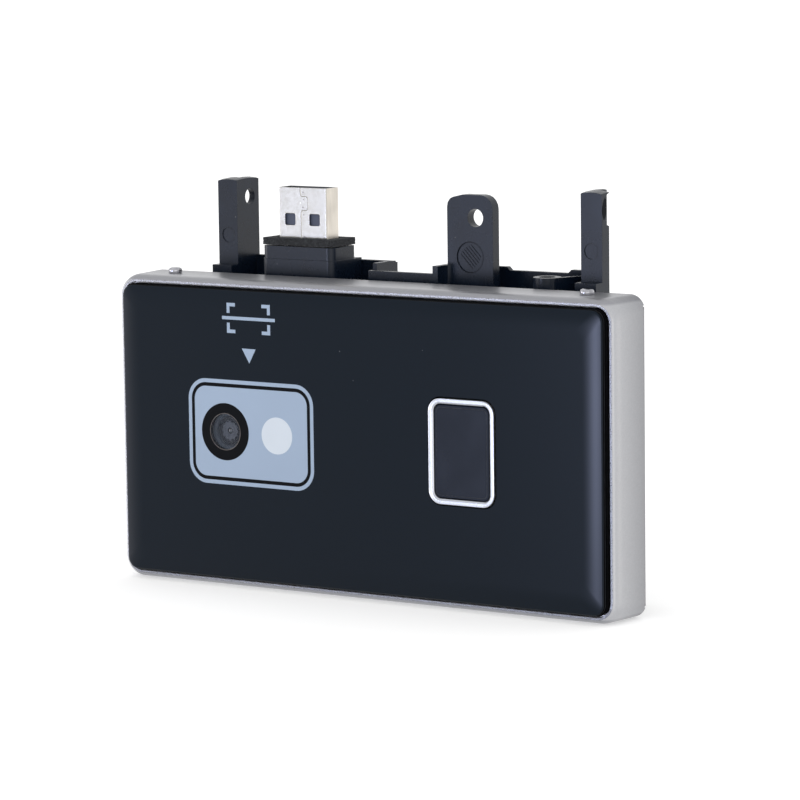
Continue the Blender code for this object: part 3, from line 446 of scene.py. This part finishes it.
def computed(tree, operation, first, second=None):
    """Compute with one or two numbers."""
    node = tree.nodes.new("ShaderNodeMath")
    node.operation = operation
    put(tree, first, node.inputs[0])
    if second is not None:
        put(tree, second, node.inputs[1])
    return node.outputs["Value"]


def ranged(tree, source, low, high, start=0.3, end=0.7):
    """Map start to low and end to high."""
    step = tree.nodes.new("ShaderNodeMapRange")
    for key, value in (("From Min", start), ("From Max", end), ("To Min", low), ("To Max", high)):
        step.inputs[key].default_value = value
    tree.links.new(source, step.inputs["Value"])
    return step.outputs["Result"]


def noisy(tree, where, scale, detail=3.0):
    """Return a noise's value."""
    texture = tree.nodes.new("ShaderNodeTexNoise")
    texture.inputs["Scale"].default_value = scale
    texture.inputs["Detail"].default_value = detail
    tree.links.new(where, texture.inputs["Vector"])
    return texture.outputs["Fac"]


def speckled(tree, where, scale, size, share):
    """Return a mask of round specks in a share of the cells."""
    cells = tree.nodes.new("ShaderNodeTexVoronoi")
    cells.inputs["Scale"].default_value = scale
    tree.links.new(where, cells.inputs["Vector"])
    parts = tree.nodes.new("ShaderNodeSeparateColor")
    tree.links.new(cells.outputs["Color"], parts.inputs["Color"])
    near = ranged(tree, cells.outputs["Distance"], 1, 0, size * 0.6, size)
    chosen = computed(tree, "LESS_THAN", parts.outputs["Red"], share)
    return computed(tree, "MULTIPLY", near, chosen)


def place_along(tree, axis):
    """Return the place on an axis of the shared frame."""
    place = tree.nodes.new("ShaderNodeTexCoord")
    parts = tree.nodes.new("ShaderNodeSeparateXYZ")
    tree.links.new(place.outputs["Object"], parts.inputs["Vector"])
    return parts.outputs[axis]


# Materials

def shader_of(material):
    """Return a material's main shader node."""
    return material.node_tree.nodes["Principled BSDF"]


def finish(name, colour, roughness, metallic=0.0, tone=None, gloss=None, bump=None, specks=None,
           specular=None, stretch=(1, 1, 1), painted_shade_by_depth=None):
    """Make a node material, with scales counted per metre.

    tone and gloss are (scale, amount), bump is (scale, distance in mm), specks are (scale, size,
    share, colour), and the painted shade from front to back is (front depth, back depth,
    front tint, back tint).
    """
    material = bpy.data.materials.new(name)
    material.use_nodes = True
    tree = material.node_tree
    shader = shader_of(material)
    shader.inputs["Metallic"].default_value = metallic
    if specular is not None:
        shader.inputs["Specular IOR Level"].default_value = specular
    place = tree.nodes.new("ShaderNodeTexCoord")
    mapping = tree.nodes.new("ShaderNodeMapping")
    mapping.inputs["Scale"].default_value = stretch
    tree.links.new(place.outputs["Object"], mapping.inputs["Vector"])
    where = mapping.outputs["Vector"]

    paint = (*colour, 1)
    if tone:
        scale, amount = tone
        dark = (*[c * (1 - amount) for c in colour], 1)
        light = (*[min(1, c * (1 + amount)) for c in colour], 1)
        paint = mixed(tree, dark, light, ranged(tree, noisy(tree, where, scale), 0, 1))
    if specks:
        scale, size, share, speck_colour = specks
        paint = mixed(tree, paint, (*speck_colour, 1), speckled(tree, where, scale, size, share))
    # Painted shade: the colour is multiplied down from the front tint at one depth to the back tint
    # at another.
    if painted_shade_by_depth:
        front, back, front_tint, back_tint = painted_shade_by_depth
        share = ranged(tree, place_along(tree, "Y"), 0, 1,
                       (front - MIDDLE_Y) * MM, (back - MIDDLE_Y) * MM)
        tint = mixed(tree, (*front_tint, 1), (*back_tint, 1), share)
        paint = mixed(tree, paint, tint, blend="MULTIPLY")
    put(tree, paint, shader.inputs["Base Color"])

    rough = roughness
    if gloss:
        scale, amount = gloss
        rough = ranged(tree, noisy(tree, where, scale), roughness - amount, roughness + amount)
    put(tree, rough, shader.inputs["Roughness"])
    if bump:
        scale, distance = bump
        step = tree.nodes.new("ShaderNodeBump")
        step.inputs["Distance"].default_value = distance * MM
        step.inputs["Strength"].default_value = 1.0
        tree.links.new(noisy(tree, where, scale, 2.0), step.inputs["Height"])
        tree.links.new(step.outputs["Normal"], shader.inputs["Normal"])
    return material


def paint_fillet_shade(material):
    """Paint shade onto the fillets where the front's long edges turn into the flat top and
    underside.
    """
    tree = material.node_tree
    socket = shader_of(material).inputs["Base Color"]
    paint = socket.links[0].from_socket
    height = computed(tree, "SUBTRACT", place_along(tree, "Z"), MIDDLE_Z * MM)
    share = ranged(tree, computed(tree, "ABSOLUTE", height), 0, 1, FILLET_START * MM,
                   FILLET_END * MM)
    ramp = tree.nodes.new("ShaderNodeValToRGB")
    stops = ramp.color_ramp.elements
    stops[0].position, stops[0].color = 0.0, (1, 1, 1, 1)
    stops[1].position, stops[1].color = 1.0, (0.88, 0.88, 0.89, 1)
    for position, level in ((0.3, 0.66), (0.85, 0.58)):
        stop = stops.new(position)
        stop.color = (level, level, level * 1.03, 1)
    tree.links.new(share, ramp.inputs["Fac"])
    tree.links.new(mixed(tree, paint, ramp.outputs["Color"], blend="MULTIPLY"), socket)


# The silver is multiplied darker from the front rim towards the back: painted shade.
SILVER = finish("silver_paint_fine", (0.5, 0.505, 0.527), 0.34, 0.75, tone=(3600, 0.05),
                gloss=(900, 0.04), bump=(3600, 0.006),
                painted_shade_by_depth=(0.5, SHELL_BACK_Y, (1, 1, 1), (0.64, 0.64, 0.65)))
# Painted shade on the top and bottom fillets.
paint_fillet_shade(SILVER)
RIM = finish("cut_rim", (0.32, 0.325, 0.345), 0.34, 0.85, tone=(3800, 0.5), gloss=(3800, 0.1),
             bump=(3800, 0.03))
# A darker copy of the cut rim for its lower edge: painted shade.
RIM_SHADED = finish("cut_rim_painted_shade", (0.18, 0.183, 0.195), 0.36, 0.85, tone=(3800, 0.5),
                 gloss=(3800, 0.1), bump=(3800, 0.03))
GLASS = finish("black_glass", (0.0012, 0.0062, 0.0145), 0.07, specular=0.155, gloss=(60, 0.01),
               specks=(300, 0.05, 0.06, (0.09, 0.1, 0.12)))
GLASS_EDGE = finish("glass_edge", (0.0015, 0.0015, 0.002), 0.5, specular=0.02, tone=(900, 0.3))
EDGE_LINE = finish("edge_line", (0.03, 0.033, 0.04), 0.4, specular=0.1, tone=(900, 0.3))
TAPE = finish("edge_tape", (0.004, 0.004, 0.005), 0.6, specular=0.04, tone=(1800, 0.4),
              bump=(2500, 0.01))
PLASTIC = finish("moulded_plastic", (0.004, 0.0085, 0.0185), 0.27, specular=0.31,
                 gloss=(260, 0.02), tone=(240, 0.18), bump=(3400, 0.0012),
                 specks=(900, 0.1, 0.06, (0.3, 0.3, 0.3)))
STEEL = finish("bright_steel", (0.42, 0.42, 0.45), 0.14, 1.0, gloss=(900, 0.04),
               tone=(1500, 0.2), stretch=(1, 1, 0.12))
BEZEL = finish("bezel_steel", (0.525, 0.545, 0.6), 0.25, 0.9, gloss=(900, 0.012),
               tone=(1200, 0.02))
PAD = finish("sensor_pad", (0.0005, 0.005, 0.017), 0.16, specular=0.25, gloss=(200, 0.03),
             specks=(700, 0.07, 0.06, (0.1, 0.13, 0.15)))
PLUG_STEEL = finish("plug_steel_fine", (0.52, 0.512, 0.487), 0.22, 1.0, tone=(1800, 0.025),
                    gloss=(900, 0.03), specks=(900, 0.1, 0.05, (0.9, 0.9, 0.92)))
PLUG_SIDE = finish("plug_side_rubbed", (0.7, 0.655, 0.59), 0.38, 1.0, tone=(420, 0.12),
                   gloss=(500, 0.07), stretch=(1, 1, 0.35),
                   specks=(800, 0.2, 0.3, (0.13, 0.11, 0.1)))
# A much darker copy of the plug steel for the faces inside the shell: painted shade.
PLUG_INSIDE_SHADE = finish("plug_inside_painted_shade", (0.14, 0.145, 0.16), 0.42, 0.9, tone=(600, 0.1))
FOAM = finish("foam_fine", (0.038, 0.04, 0.044), 0.95, specular=0.2, tone=(3300, 0.6),
              bump=(4200, 0.1), specks=(1100, 0.17, 0.09, (0.42, 0.43, 0.45)))
PRINT = finish("print_grey_blue", (0.372, 0.468, 0.617), 0.3, specular=0.28, tone=(28, 0.03),
               gloss=(60, 0.02))
PRINT_BLACK = finish("print_black", (0.0025, 0.003, 0.004), 0.3, specular=0.05, tone=(300, 0.2))
PRINT_DOT = finish("print_white", (0.7, 0.765, 0.85), 0.32, specular=0.28, tone=(90, 0.02))
LENS_LINE = finish("lens_line", (0.16, 0.14, 0.13), 0.4, tone=(600, 0.2))
LENS_WALL = finish("lens_wall", (0.045, 0.065, 0.1), 0.4, tone=(500, 0.15), gloss=(400, 0.06))
# The well's floor is painted much darker than its wall: painted shade.
LENS_FLOOR_SHADE = finish("lens_floor_painted_shade", (0.007, 0.01, 0.017), 0.45, specular=0.2, tone=(400, 0.15))
LENS_DISC = finish("lens_disc", (0.052, 0.064, 0.095), 0.42, tone=(500, 0.12))
LENS_GLASS = finish("lens_glass_fine", (0.02, 0.03, 0.045), 0.06, specular=0.8, gloss=(400, 0.02))
LENS_HAZE = finish("clear_window", (0.12, 0.135, 0.17), 0.12, specular=0.3, tone=(300, 0.1))
shader_of(LENS_HAZE).inputs["Alpha"].default_value = 0.14
TONGUE = finish("tongue_plastic", (0.055, 0.068, 0.115), 0.5, tone=(600, 0.15))
# Dark mould marks; the same material is the painted shade sheet in the post recess.
MOULD_MARK_AND_SHADE = finish("mould_mark_and_recess_shade", (0.004, 0.005, 0.008), 0.6, specular=0.08, tone=(900, 0.3))
DUST = finish("dust_mark", (0.035, 0.038, 0.045), 0.8, specular=0.2, tone=(3000, 0.9))
PLUG_MARK = finish("plug_mark", (0.3, 0.29, 0.29), 0.3, 1.0, tone=(900, 0.2))
GOLD = finish("gold_plate", (0.83, 0.62, 0.27), 0.28, 1.0, gloss=(900, 0.05))
SCREW = finish("screw_steel", (0.62, 0.62, 0.63), 0.32, 1.0, gloss=(900, 0.08), tone=(900, 0.08))
WHITE = finish("white_fine", (0.8, 0.81, 0.83), 0.4, tone=(300, 0.04))
BOARD = finish("board_fine", (0.02, 0.14, 0.06), 0.45, tone=(300, 0.15))
CHIP = finish("chip_fine", (0.02, 0.02, 0.022), 0.45, tone=(900, 0.2))
BRASS = finish("brass_fine", (0.66, 0.48, 0.2), 0.35, 1.0, gloss=(500, 0.05))
AMBER = finish("ribbon_fine", (0.35, 0.14, 0.03), 0.4, tone=(300, 0.1))


# Shell

def shell_profile():
    """Return (offset, depth, corner radius), from the rim back along the wall and inside again."""
    steps = [(0.0, RIM_ROUND, OPENING_RADIUS), (RIM_ROUND, 0.0, OPENING_RADIUS + RIM_ROUND),
             (RIM_END, 0.0, OPENING_RADIUS + RIM_END)]
    for k in range(FLARE_STEPS + 1):
        angle = math.pi / 2 * k / FLARE_STEPS
        offset = FLARE_START + (FLARE - FLARE_START) * math.sin(angle)
        y = RIM_ROUND + FLARE_DEPTH * (1 - math.cos(angle))
        radius = OPENING_RADIUS + offset
        radius += (BACK_CORNER - radius) * y / SHELL_BACK_Y
        steps.append((offset, y, radius))
    for y in WALL_LEVELS:
        radius = BACK_CORNER + (FRONT_CORNER - BACK_CORNER) * (1 - y / SHELL_BACK_Y)
        steps.append((FLARE, y, radius))
    inside = FLARE - WALL_T
    steps += [(FLARE, SHELL_BACK_Y, BACK_CORNER), (inside, SHELL_BACK_Y, WALL_RADIUS),
              (inside, LEDGE_BACK_Y, WALL_RADIUS), (-LEDGE, LEDGE_BACK_Y, LEDGE_RADIUS),
              (-LEDGE, LEDGE_FRONT_Y, LEDGE_RADIUS), (0.0, LEDGE_FRONT_Y, OPENING_RADIUS)]
    return steps


def make_shell():
    """Silver frame: a cut rim, a flared edge, straight walls and an open back."""
    rings = []
    for offset, y, radius in shell_profile():
        width = OPENING_W + 2 * offset
        height = OPENING_H + 2 * offset
        rings.append(ring_at(rounded(0, MIDDLE_Z, width, height, radius, 14), y))
    relief = [(-RELIEF_X, RELIEF_END_Z), (RELIEF_X, RELIEF_END_Z),
              (RELIEF_X, SHELL_H - RELIEF_END_Z), (-RELIEF_X, SHELL_H - RELIEF_END_Z)]
    mesh = shaped(loft("shell", rings, closed=True),
                  prism("relief", relief, RELIEF_Y, SHELL_BACK_Y + RELIEF_PAST))
    piece("shell", mesh, [SILVER, RIM, RIM_SHADED], ["front_shell"], sharp=28)

    def rim_or_paint(_x, y, z, _normal):
        if y >= RIM_PAINT_Y:
            return 0
        # The lower rim gets the darker copy: painted shade.
        return 2 if z < RIM_LOW_Z else 1

    choose_finish(mesh, rim_or_paint)


# Glass

def bezel_outline(inset):
    """Return the bezel's outline, drawn in by an inset."""
    return rounded(*SENSOR, BEZEL_W - 2 * inset, BEZEL_H - 2 * inset, BEZEL_RADIUS - inset, 12)


def glass_profile():
    """Return (inset, depth) from the flat front out to the back edge."""
    steps = []
    for k in range(BORDER_STEPS + 1):
        share = k / BORDER_STEPS
        steps.append((BORDER_IN - (BORDER_IN - EDGE_IN) * share,
                      GLASS_FRONT_Y + BORDER_DROP * share ** BORDER_POWER))
    front = GLASS_FRONT_Y + BORDER_DROP
    for k in range(1, EDGE_STEPS + 1):
        angle = math.pi / 2 * k / EDGE_STEPS
        steps.append((EDGE_IN * (1 - math.sin(angle)), front + EDGE_DEPTH * (1 - math.cos(angle))))
    steps += [(0.0, EDGE_LINE_FRONT_Y), (0.0, EDGE_LINE_BACK_Y), (0.0, GLASS_BACK_Y)]
    return steps


def make_glass():
    """Cover glass with a slightly curved border, a cut-out for the bezel and a hole at the lens."""
    rings = []
    for inset, y in glass_profile():
        outline = rounded(0, MIDDLE_Z, GLASS_W - 2 * inset, GLASS_H - 2 * inset,
                          GLASS_RADIUS - min(inset, EDGE_IN), 12)
        rings.append(ring_at(outline, y))
    mesh = shaped(loft("glass", rings), prism("hole", bezel_outline(-BEZEL_GAP), *THROUGH_GLASS),
                  prism("lens hole", circle(*LENS, LENS_HOLE_D), *THROUGH_GLASS))
    piece("glass", mesh, [GLASS, GLASS_EDGE, EDGE_LINE], ["cover_glass"], sharp=30)

    def glass_or_edge(_x, y, _z, _normal):
        if EDGE_LINE_FRONT_Y < y < EDGE_LINE_BACK_Y:
            return 2
        return 1 if y > EDGE_PAINT_Y else 0

    choose_finish(mesh, glass_or_edge)


# Prints on the glass

def window_outline(inset):
    """Return the scan window's outline, drawn in by an inset."""
    return rounded(*WINDOW, WINDOW_W - 2 * inset, WINDOW_H - 2 * inset, WINDOW_RADIUS - inset, 14)


def bracket(u, v, across, up):
    """Return one corner bracket, its corner at (u, v), arms along the given signs."""
    reach_u, reach_v = u + across * BRACKET_REACH, v + up * BRACKET_REACH
    width_u, width_v = u + across * BRACKET_WIDTH, v + up * BRACKET_WIDTH
    return [(u, v), (reach_u, v), (reach_u, width_v), (width_u, width_v), (width_u, reach_v),
            (u, reach_v)]


def make_prints():
    """Window frame, window, arrow, pictogram and dot."""
    front = GLASS_FRONT_Y - PRINT_T
    line_inner = window_outline(WINDOW_LINE_IN)
    fill = window_outline(WINDOW_FILL_IN)
    lens_ring = circle(*LENS, LENS_RING_D)
    lens_edge = circle(*LENS, LENS_EDGE_D)

    light = [[window_outline(0), line_inner], [fill, lens_ring], [ARROW]]
    for v, up in ((SIGN_LOW_Z, 1), (SIGN_HIGH_Z, -1)):
        for u, across in ((SIGN_LEFT_X, 1), (SIGN_RIGHT_X, -1)):
            light.append([bracket(u, v, across, up)])
    left = SIGN_LEFT_X - SCAN_LINE_PAST
    right = SIGN_RIGHT_X + SCAN_LINE_PAST
    light.append([[(left, SCAN_LINE_LOW_Z), (right, SCAN_LINE_LOW_Z), (right, SCAN_LINE_HIGH_Z),
                   (left, SCAN_LINE_HIGH_Z)]])
    dark = [[line_inner, fill], [lens_ring, lens_edge]]
    edge = [[lens_edge, circle(*LENS, LENS_LINE_D)]]
    dot = [[circle(*DOT, DOT_D)]]
    for name, groups, y, thickness, material in (
            ("print_light", light, front, PRINT_T, PRINT),
            ("print_dark", dark, front + DARK_PRINT_IN, PRINT_T - DARK_PRINT_IN, PRINT_BLACK),
            ("print_edge", edge, front, PRINT_T, LENS_LINE),
            ("print_dot", dot, front - DOT_PRINT_OUT, PRINT_T, PRINT_DOT)):
        piece(name, flat_print(name, groups, y, thickness), [material])


# Lens

def make_lens_window():
    """Clear, slightly hazy window in front of the lens."""
    profile = [(LENS_WINDOW_R, GLASS_FRONT_Y + inwards) for inwards in LENS_WINDOW_IN]
    piece("lens_window", loft("lens_window", turned(profile, *LENS)), [LENS_HAZE])


def make_lens():
    """Stepped lens well with a notched disc and a small pupil."""
    mesh = loft("lens_well", turned(LENS_WELL, *LENS), closed=True)
    piece("lens_well", mesh, [LENS_WALL, LENS_FLOOR_SHADE],
          ["lens_barrel", "camera_lens"])
    # The deep floor of the well takes the darker colour: painted shade.
    choose_finish(mesh, lambda _x, y, _z, _normal: 1 if y > LENS_FLOOR_Y else 0)

    x, z = LENS
    outline = []
    for k in range(DISC_NOTCHES * NOTCH_STEPS):
        angle = 2 * math.pi * k / (DISC_NOTCHES * NOTCH_STEPS)
        radius = DISC_NOTCH_R if NOTCH_FROM <= k % NOTCH_STEPS <= NOTCH_TO else DISC_R
        outline.append((x + radius * math.cos(angle), z + radius * math.sin(angle)))
    disc = [[outline, circle(x, z, DISC_HOLE_D)]]
    piece("lens_disc", flat_print("lens_disc", disc, DISC_FRONT_Y, DISC_T), [LENS_DISC])

    dome = [PUPIL_FOOT]
    for k in range(PUPIL_STEPS):
        angle = math.pi / 2 * k / PUPIL_STEPS
        dome.append((PUPIL_R * math.cos(angle), PUPIL_Y - PUPIL_RISE * math.sin(angle)))
    piece("lens_pupil", loft("lens_pupil", turned(dome, x, z)), [LENS_GLASS])


# Fingerprint reader

def make_fingerprint_reader():
    """Bezel with a rounded outer edge, a flat front and a slanted inner edge, and its pad."""
    front = BEZEL_FRONT_Y
    steps = [(0.0, BEZEL_BACK_Y), (0.0, front + 0.15), (0.04, front + 0.04), (0.15, front),
             (0.68, front), (0.78, front + 0.02), (1.06, front + 0.24), (1.1, front + 0.3),
             (1.1, BEZEL_BACK_Y)]
    bezel = [ring_at(bezel_outline(inset), y) for inset, y in steps]
    piece("bezel", loft("bezel", bezel, closed=True), [BEZEL], ["fingerprint_bezel"],
          sharp=24)
    pad = [ring_at(bezel_outline(inset), y) for inset, y in PAD_STEPS]
    piece("pad", loft("pad", pad), [PAD], ["fingerprint_pad"])
    line = [[rounded(*SENSOR, *PAD_LINE_OUTER, 12), rounded(*SENSOR, *PAD_LINE_INNER, 12)]]
    piece("pad_line", flat_print("pad_line", line, PAD_LINE_Y, MARK_T), [DUST])


# Pins

def make_pins():
    """Two domed pins with a rounded shoulder."""
    profile = list(PIN_STEM)
    for k in range(1, PIN_DOME_STEPS):
        angle = math.pi / 2 * k / PIN_DOME_STEPS
        profile.append((PIN_DOME_FLAT_R + PIN_DOME_ROUND_R * math.cos(angle),
                        PIN_DOME_Z + PIN_DOME_RISE * math.sin(angle)))
    profile.append(PIN_TOP)
    for side, x in (("left", -PIN_X), ("right", PIN_X)):
        mesh = loft("pin", turned(profile, x, PIN_Y, axis="z", sides=40))
        piece(f"dome_pin_{side}", mesh, [STEEL], [f"pin_{side}"])


# Rear moulding and plug base

def tab_line(k):
    """Return one slanting bar of the tab's mark, counted from its lower left."""
    along = TAB_LINES_START + TAB_LINES_STEP * k
    half = TAB_LINES_SHARE * math.sqrt(TAB_LINES_R ** 2 - along ** 2)
    turn_u, turn_v = TAB_LINES_TURN
    u, v = TAB_MARK[0] + along * turn_u, TAB_MARK[1] + along * turn_v
    start_u, start_v = u - half * turn_v, v + half * turn_u
    end_u, end_v = u + half * turn_v, v - half * turn_u
    side = TAB_LINE_HALF
    return [(start_u - side, start_v - side), (end_u - side, end_v - side),
            (end_u + side, end_v + side), (start_u + side, start_v + side)]


def make_mouldings():
    """Rear moulding and plug base with rounded edges, the fine moulded marks, and a dark sheet
    in the right post's recess as painted shade.
    """
    for name, node, width in (("moulding", "rear_housing", MOULDING_EDGE),
                              ("plug_foot", "plug_base", FOOT_EDGE)):
        piece(name, rounded_copy(node, width), [PLASTIC], [node])
    # A dark sheet on the recess floor: painted shade.
    recess_shade = prism("post_recess_shade", rounded(*RECESS_FLOOR), *RECESS_X, axis="x")
    piece("post_recess_shade", recess_shade, [MOULD_MARK_AND_SHADE])

    tab_ring = [[circle(*TAB_MARK, TAB_MARK_OUTER_D), circle(*TAB_MARK, TAB_MARK_INNER_D)]]
    tab_lines = [[tab_line(k)] for k in range(TAB_LINES)]
    post_rings = []
    for x in (-POST_MARK_X, POST_MARK_X):
        post_rings.append([circle(x, POST_MARK_Z, POST_MARK_OUTER_D),
                           circle(x, POST_MARK_Z, POST_MARK_INNER_D)])
    for name, groups, y, thickness, material in (
            ("tab_mark", tab_ring, POST_FRONT_Y - MARK_OUT, MARK_T, MOULD_MARK_AND_SHADE),
            ("tab_lines", tab_lines, POST_FRONT_Y + TAB_LINES_IN, TAB_LINES_T, MOULD_MARK_AND_SHADE),
            ("post_marks", post_rings, POST_FRONT_Y - MARK_OUT, MARK_T, DUST)):
        piece(name, flat_print(name, groups, y, thickness), [material])


# Foam

def make_foam():
    """Foam pad with a torn, crumbly surface."""
    outer = rounded(PLUG_X, PLUG_Y, *FOAM_OUTER, 4)
    inner = rounded(PLUG_X, PLUG_Y, *FOAM_INNER, 4)
    rings = [ring_at(outline, z, "z") for outline, z in
             ((inner, FOAM_LOW_Z), (inner, FOAM_TOP_Z), (outer, FOAM_TOP_Z), (outer, FOAM_LOW_Z))]
    mesh = loft("foam", rings, closed=True)
    work = bmesh.new()
    work.from_mesh(mesh)
    for _ in range(FOAM_SPLITS):
        long_edges = [edge for edge in work.edges if edge.calc_length() > FOAM_GRAIN * MM]
        bmesh.ops.subdivide_edges(work, edges=long_edges, cuts=1, use_grid_fill=True)
    bmesh.ops.triangulate(work, faces=[face for face in work.faces if len(face.verts) > 4])
    work.normal_update()
    for vert in work.verts:
        here = vert.co / MM
        rough = sum(noise.noise(here * scale) * height for scale, height in FOAM_LUMPS)
        vert.co += vert.normal * (rough - FOAM_SHRINK) * MM
    work.to_mesh(mesh)
    work.free()
    piece("foam", mesh, [FOAM], ["foam_gasket"], sharp=60)


# Steel plug

def make_plug():
    """Folded steel shell with windows, and a seam that steps round two locks."""
    outside = rounded(PLUG_X, PLUG_Y, USB_W, USB_D, USB_RADIUS, 8)
    inside = rounded(PLUG_X, PLUG_Y, USB_W - 2 * USB_SHEET, USB_D - 2 * USB_SHEET,
                     USB_INNER_RADIUS, 8)
    rings = [ring_at(outline, z, "z") for outline, z in
             ((outside, USB_BOTTOM_Z), (outside, USB_TOP_Z), (inside, USB_TOP_Z),
              (inside, USB_BOTTOM_Z))]
    cutters = []
    for x in USB_WINDOWS_X:
        cutters.append(prism("window", rounded(x, *USB_WINDOW, 6), PLUG_Y - USB_WINDOW_REACH,
                             PLUG_Y + USB_WINDOW_REACH))
    seam = [(u - SEAM_HALF, v) for u, v in SEAM] + [(u + SEAM_HALF, v) for u, v in SEAM[::-1]]
    cutters.append(prism("seam", seam, PLUG_Y - SEAM_FROM, PLUG_Y - SEAM_TO))
    mesh = shaped(loft("plug_shell", rings, closed=True), *cutters, bevel=USB_EDGE)
    piece("plug_shell", mesh, [PLUG_STEEL, PLUG_SIDE, PLUG_INSIDE_SHADE], ["usb_shell"])

    def inside_side_or_face(x, y, _z, normal):
        # Inside faces take the darker copy: painted shade.
        if abs(x - PLUG_X) < USB_INSIDE_X and abs(y - PLUG_Y) < USB_INSIDE_Y:
            return 2
        return 1 if abs(normal.x) > USB_SIDE_NORMAL else 0

    choose_finish(mesh, inside_side_or_face)
    marks = [[circle(u, v, size, 16)] for u, v, size in PLUG_MARKS]
    piece("plug_marks", flat_print("plug_marks", marks, PLUG_Y - PLUG_MARK_OUT, MARK_T),
          [PLUG_MARK])


# Solids that keep their shape

def dress_kept_solids():
    """Give the solids that stay as they are their finishes."""
    finishes = {
        "glass_tape": TAPE, "glass_carrier": TAPE, "sensor_body": PLASTIC, "sensor_board": BOARD,
        "sensor_ribbon": AMBER, "camera_holder": PLASTIC, "image_sensor": CHIP,
        "camera_board": BOARD, "lamp_diffuser": WHITE, "lamp_tube": WHITE, "lamp_chip": WHITE,
        "main_board": BOARD, "decoder_chip": CHIP, "memory_chip": CHIP, "plug_socket": CHIP,
        "ribbon_socket": CHIP, "plug_board": BOARD, "usb_tongue": TONGUE,
    }
    for name, count, material in (("shell_screw", 4, SCREW), ("board_screw", 4, SCREW),
                                  ("usb_contact", 4, GOLD), ("board_spacer", 3, BRASS)):
        for number in range(1, count + 1):
            finishes[f"{name}_{number}"] = material
    for node, material in finishes.items():
        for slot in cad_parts[node].material_slots:
            slot.material = material


# Floor, light and camera

def floor_material():
    """A lit white surface, lifted to white for the camera, metal and glass."""
    material = bpy.data.materials.new("floor_white")
    material.use_nodes = True
    tree = material.node_tree
    tree.nodes.clear()
    out = tree.nodes.new("ShaderNodeOutputMaterial")
    diffuse = tree.nodes.new("ShaderNodeBsdfDiffuse")
    diffuse.inputs["Color"].default_value = (FLOOR_SHADE, FLOOR_SHADE, FLOOR_SHADE, 1)
    lift = tree.nodes.new("ShaderNodeEmission")
    path = tree.nodes.new("ShaderNodeLightPath")
    seen = path.outputs["Is Camera Ray"]
    for other in ("Is Glossy Ray", "Is Transmission Ray"):
        seen = computed(tree, "MAXIMUM", seen, path.outputs[other])
    tree.links.new(computed(tree, "MULTIPLY", seen, FLOOR_LIFT), lift.inputs["Strength"])
    total = tree.nodes.new("ShaderNodeAddShader")
    tree.links.new(diffuse.outputs["BSDF"], total.inputs[0])
    tree.links.new(lift.outputs["Emission"], total.inputs[1])
    tree.links.new(total.outputs["Shader"], out.inputs["Surface"])
    return material


def make_floor():
    """Plain pale floor. In reflections the white room shows in its place."""
    low, high = -FLOOR_HALF, FLOOR_HALF
    corners = [(u, v, FLOOR_Z) for u, v in ((low, low), (high, low), (high, high), (low, high))]
    mesh = bpy.data.meshes.new("floor")
    mesh.from_pydata(corners, [], [(0, 1, 2, 3)])
    floor = bpy.data.objects.new("floor", mesh)
    bpy.context.scene.collection.objects.link(floor)
    mesh.materials.append(floor_material())
    floor.visible_glossy = False


def make_world():
    """A plain white room, with soft lights in it that the camera doesn't see."""
    world = bpy.data.worlds.new("studio")
    bpy.context.scene.world = world
    world.use_nodes = True
    tree = world.node_tree
    tree.nodes.clear()

    def vector_node(operation):
        node = tree.nodes.new("ShaderNodeVectorMath")
        node.operation = operation
        return node

    place = tree.nodes.new("ShaderNodeTexCoord")
    total = ROOM_BASE
    for name, direction, sharpness, colour in ROOM:
        dot = vector_node("DOT_PRODUCT")
        dot.label = name
        dot.inputs[1].default_value = Vector(direction).normalized()
        tree.links.new(place.outputs["Generated"], dot.inputs[0])
        away = computed(tree, "SUBTRACT", dot.outputs["Value"], 1.0)
        fall = computed(tree, "EXPONENT", computed(tree, "MULTIPLY", away, sharpness))
        patch = vector_node("SCALE")
        patch.inputs[0].default_value = colour
        tree.links.new(fall, patch.inputs["Scale"])
        add = vector_node("ADD")
        put(tree, total, add.inputs[0])
        tree.links.new(patch.outputs["Vector"], add.inputs[1])
        total = add.outputs["Vector"]
    studio = tree.nodes.new("ShaderNodeBackground")
    tree.links.new(total, studio.inputs["Color"])
    white = tree.nodes.new("ShaderNodeBackground")
    white.inputs["Color"].default_value = (1, 1, 1, 1)
    path = tree.nodes.new("ShaderNodeLightPath")
    mix = tree.nodes.new("ShaderNodeMixShader")
    tree.links.new(path.outputs["Is Camera Ray"], mix.inputs["Fac"])
    tree.links.new(studio.outputs["Background"], mix.inputs[1])
    tree.links.new(white.outputs["Background"], mix.inputs[2])
    out = tree.nodes.new("ShaderNodeOutputWorld")
    tree.links.new(mix.outputs["Shader"], out.inputs["Surface"])


def make_camera():
    """Place the camera by its fitted turn and distance."""
    right = Vector((math.cos(YAW), math.sin(YAW), 0))
    ahead = Vector((-math.sin(YAW) * math.cos(PITCH), math.cos(YAW) * math.cos(PITCH),
                    -math.sin(PITCH)))
    up = right.cross(ahead)
    across = right * math.cos(ROLL) + up * math.sin(ROLL)
    upward = up * math.cos(ROLL) - right * math.sin(ROLL)
    centre = -(across * CAMERA_OFFSET[0] + upward * CAMERA_OFFSET[1] + ahead * CAMERA_OFFSET[2])
    centre += Vector(CAMERA_AIM)
    data = bpy.data.cameras.new("camera")
    data.sensor_width = FILM_W
    data.lens = FOCAL_PX / PHOTO_PX * FILM_W
    data.clip_start = 0.05
    data.clip_end = 50
    camera = bpy.data.objects.new("camera", data)
    bpy.context.scene.collection.objects.link(camera)
    turn = Matrix((across, upward, -ahead)).transposed().to_4x4()
    camera.matrix_world = Matrix.Translation(centre * MM) @ turn
    bpy.context.scene.camera = camera


make_shell()
make_glass()
make_lens_window()
make_prints()
make_lens()
make_fingerprint_reader()
make_pins()
make_mouldings()
make_foam()
make_plug()
dress_kept_solids()
make_floor()
make_world()
make_camera()
bpy.context.scene.view_settings.view_transform = "Standard"
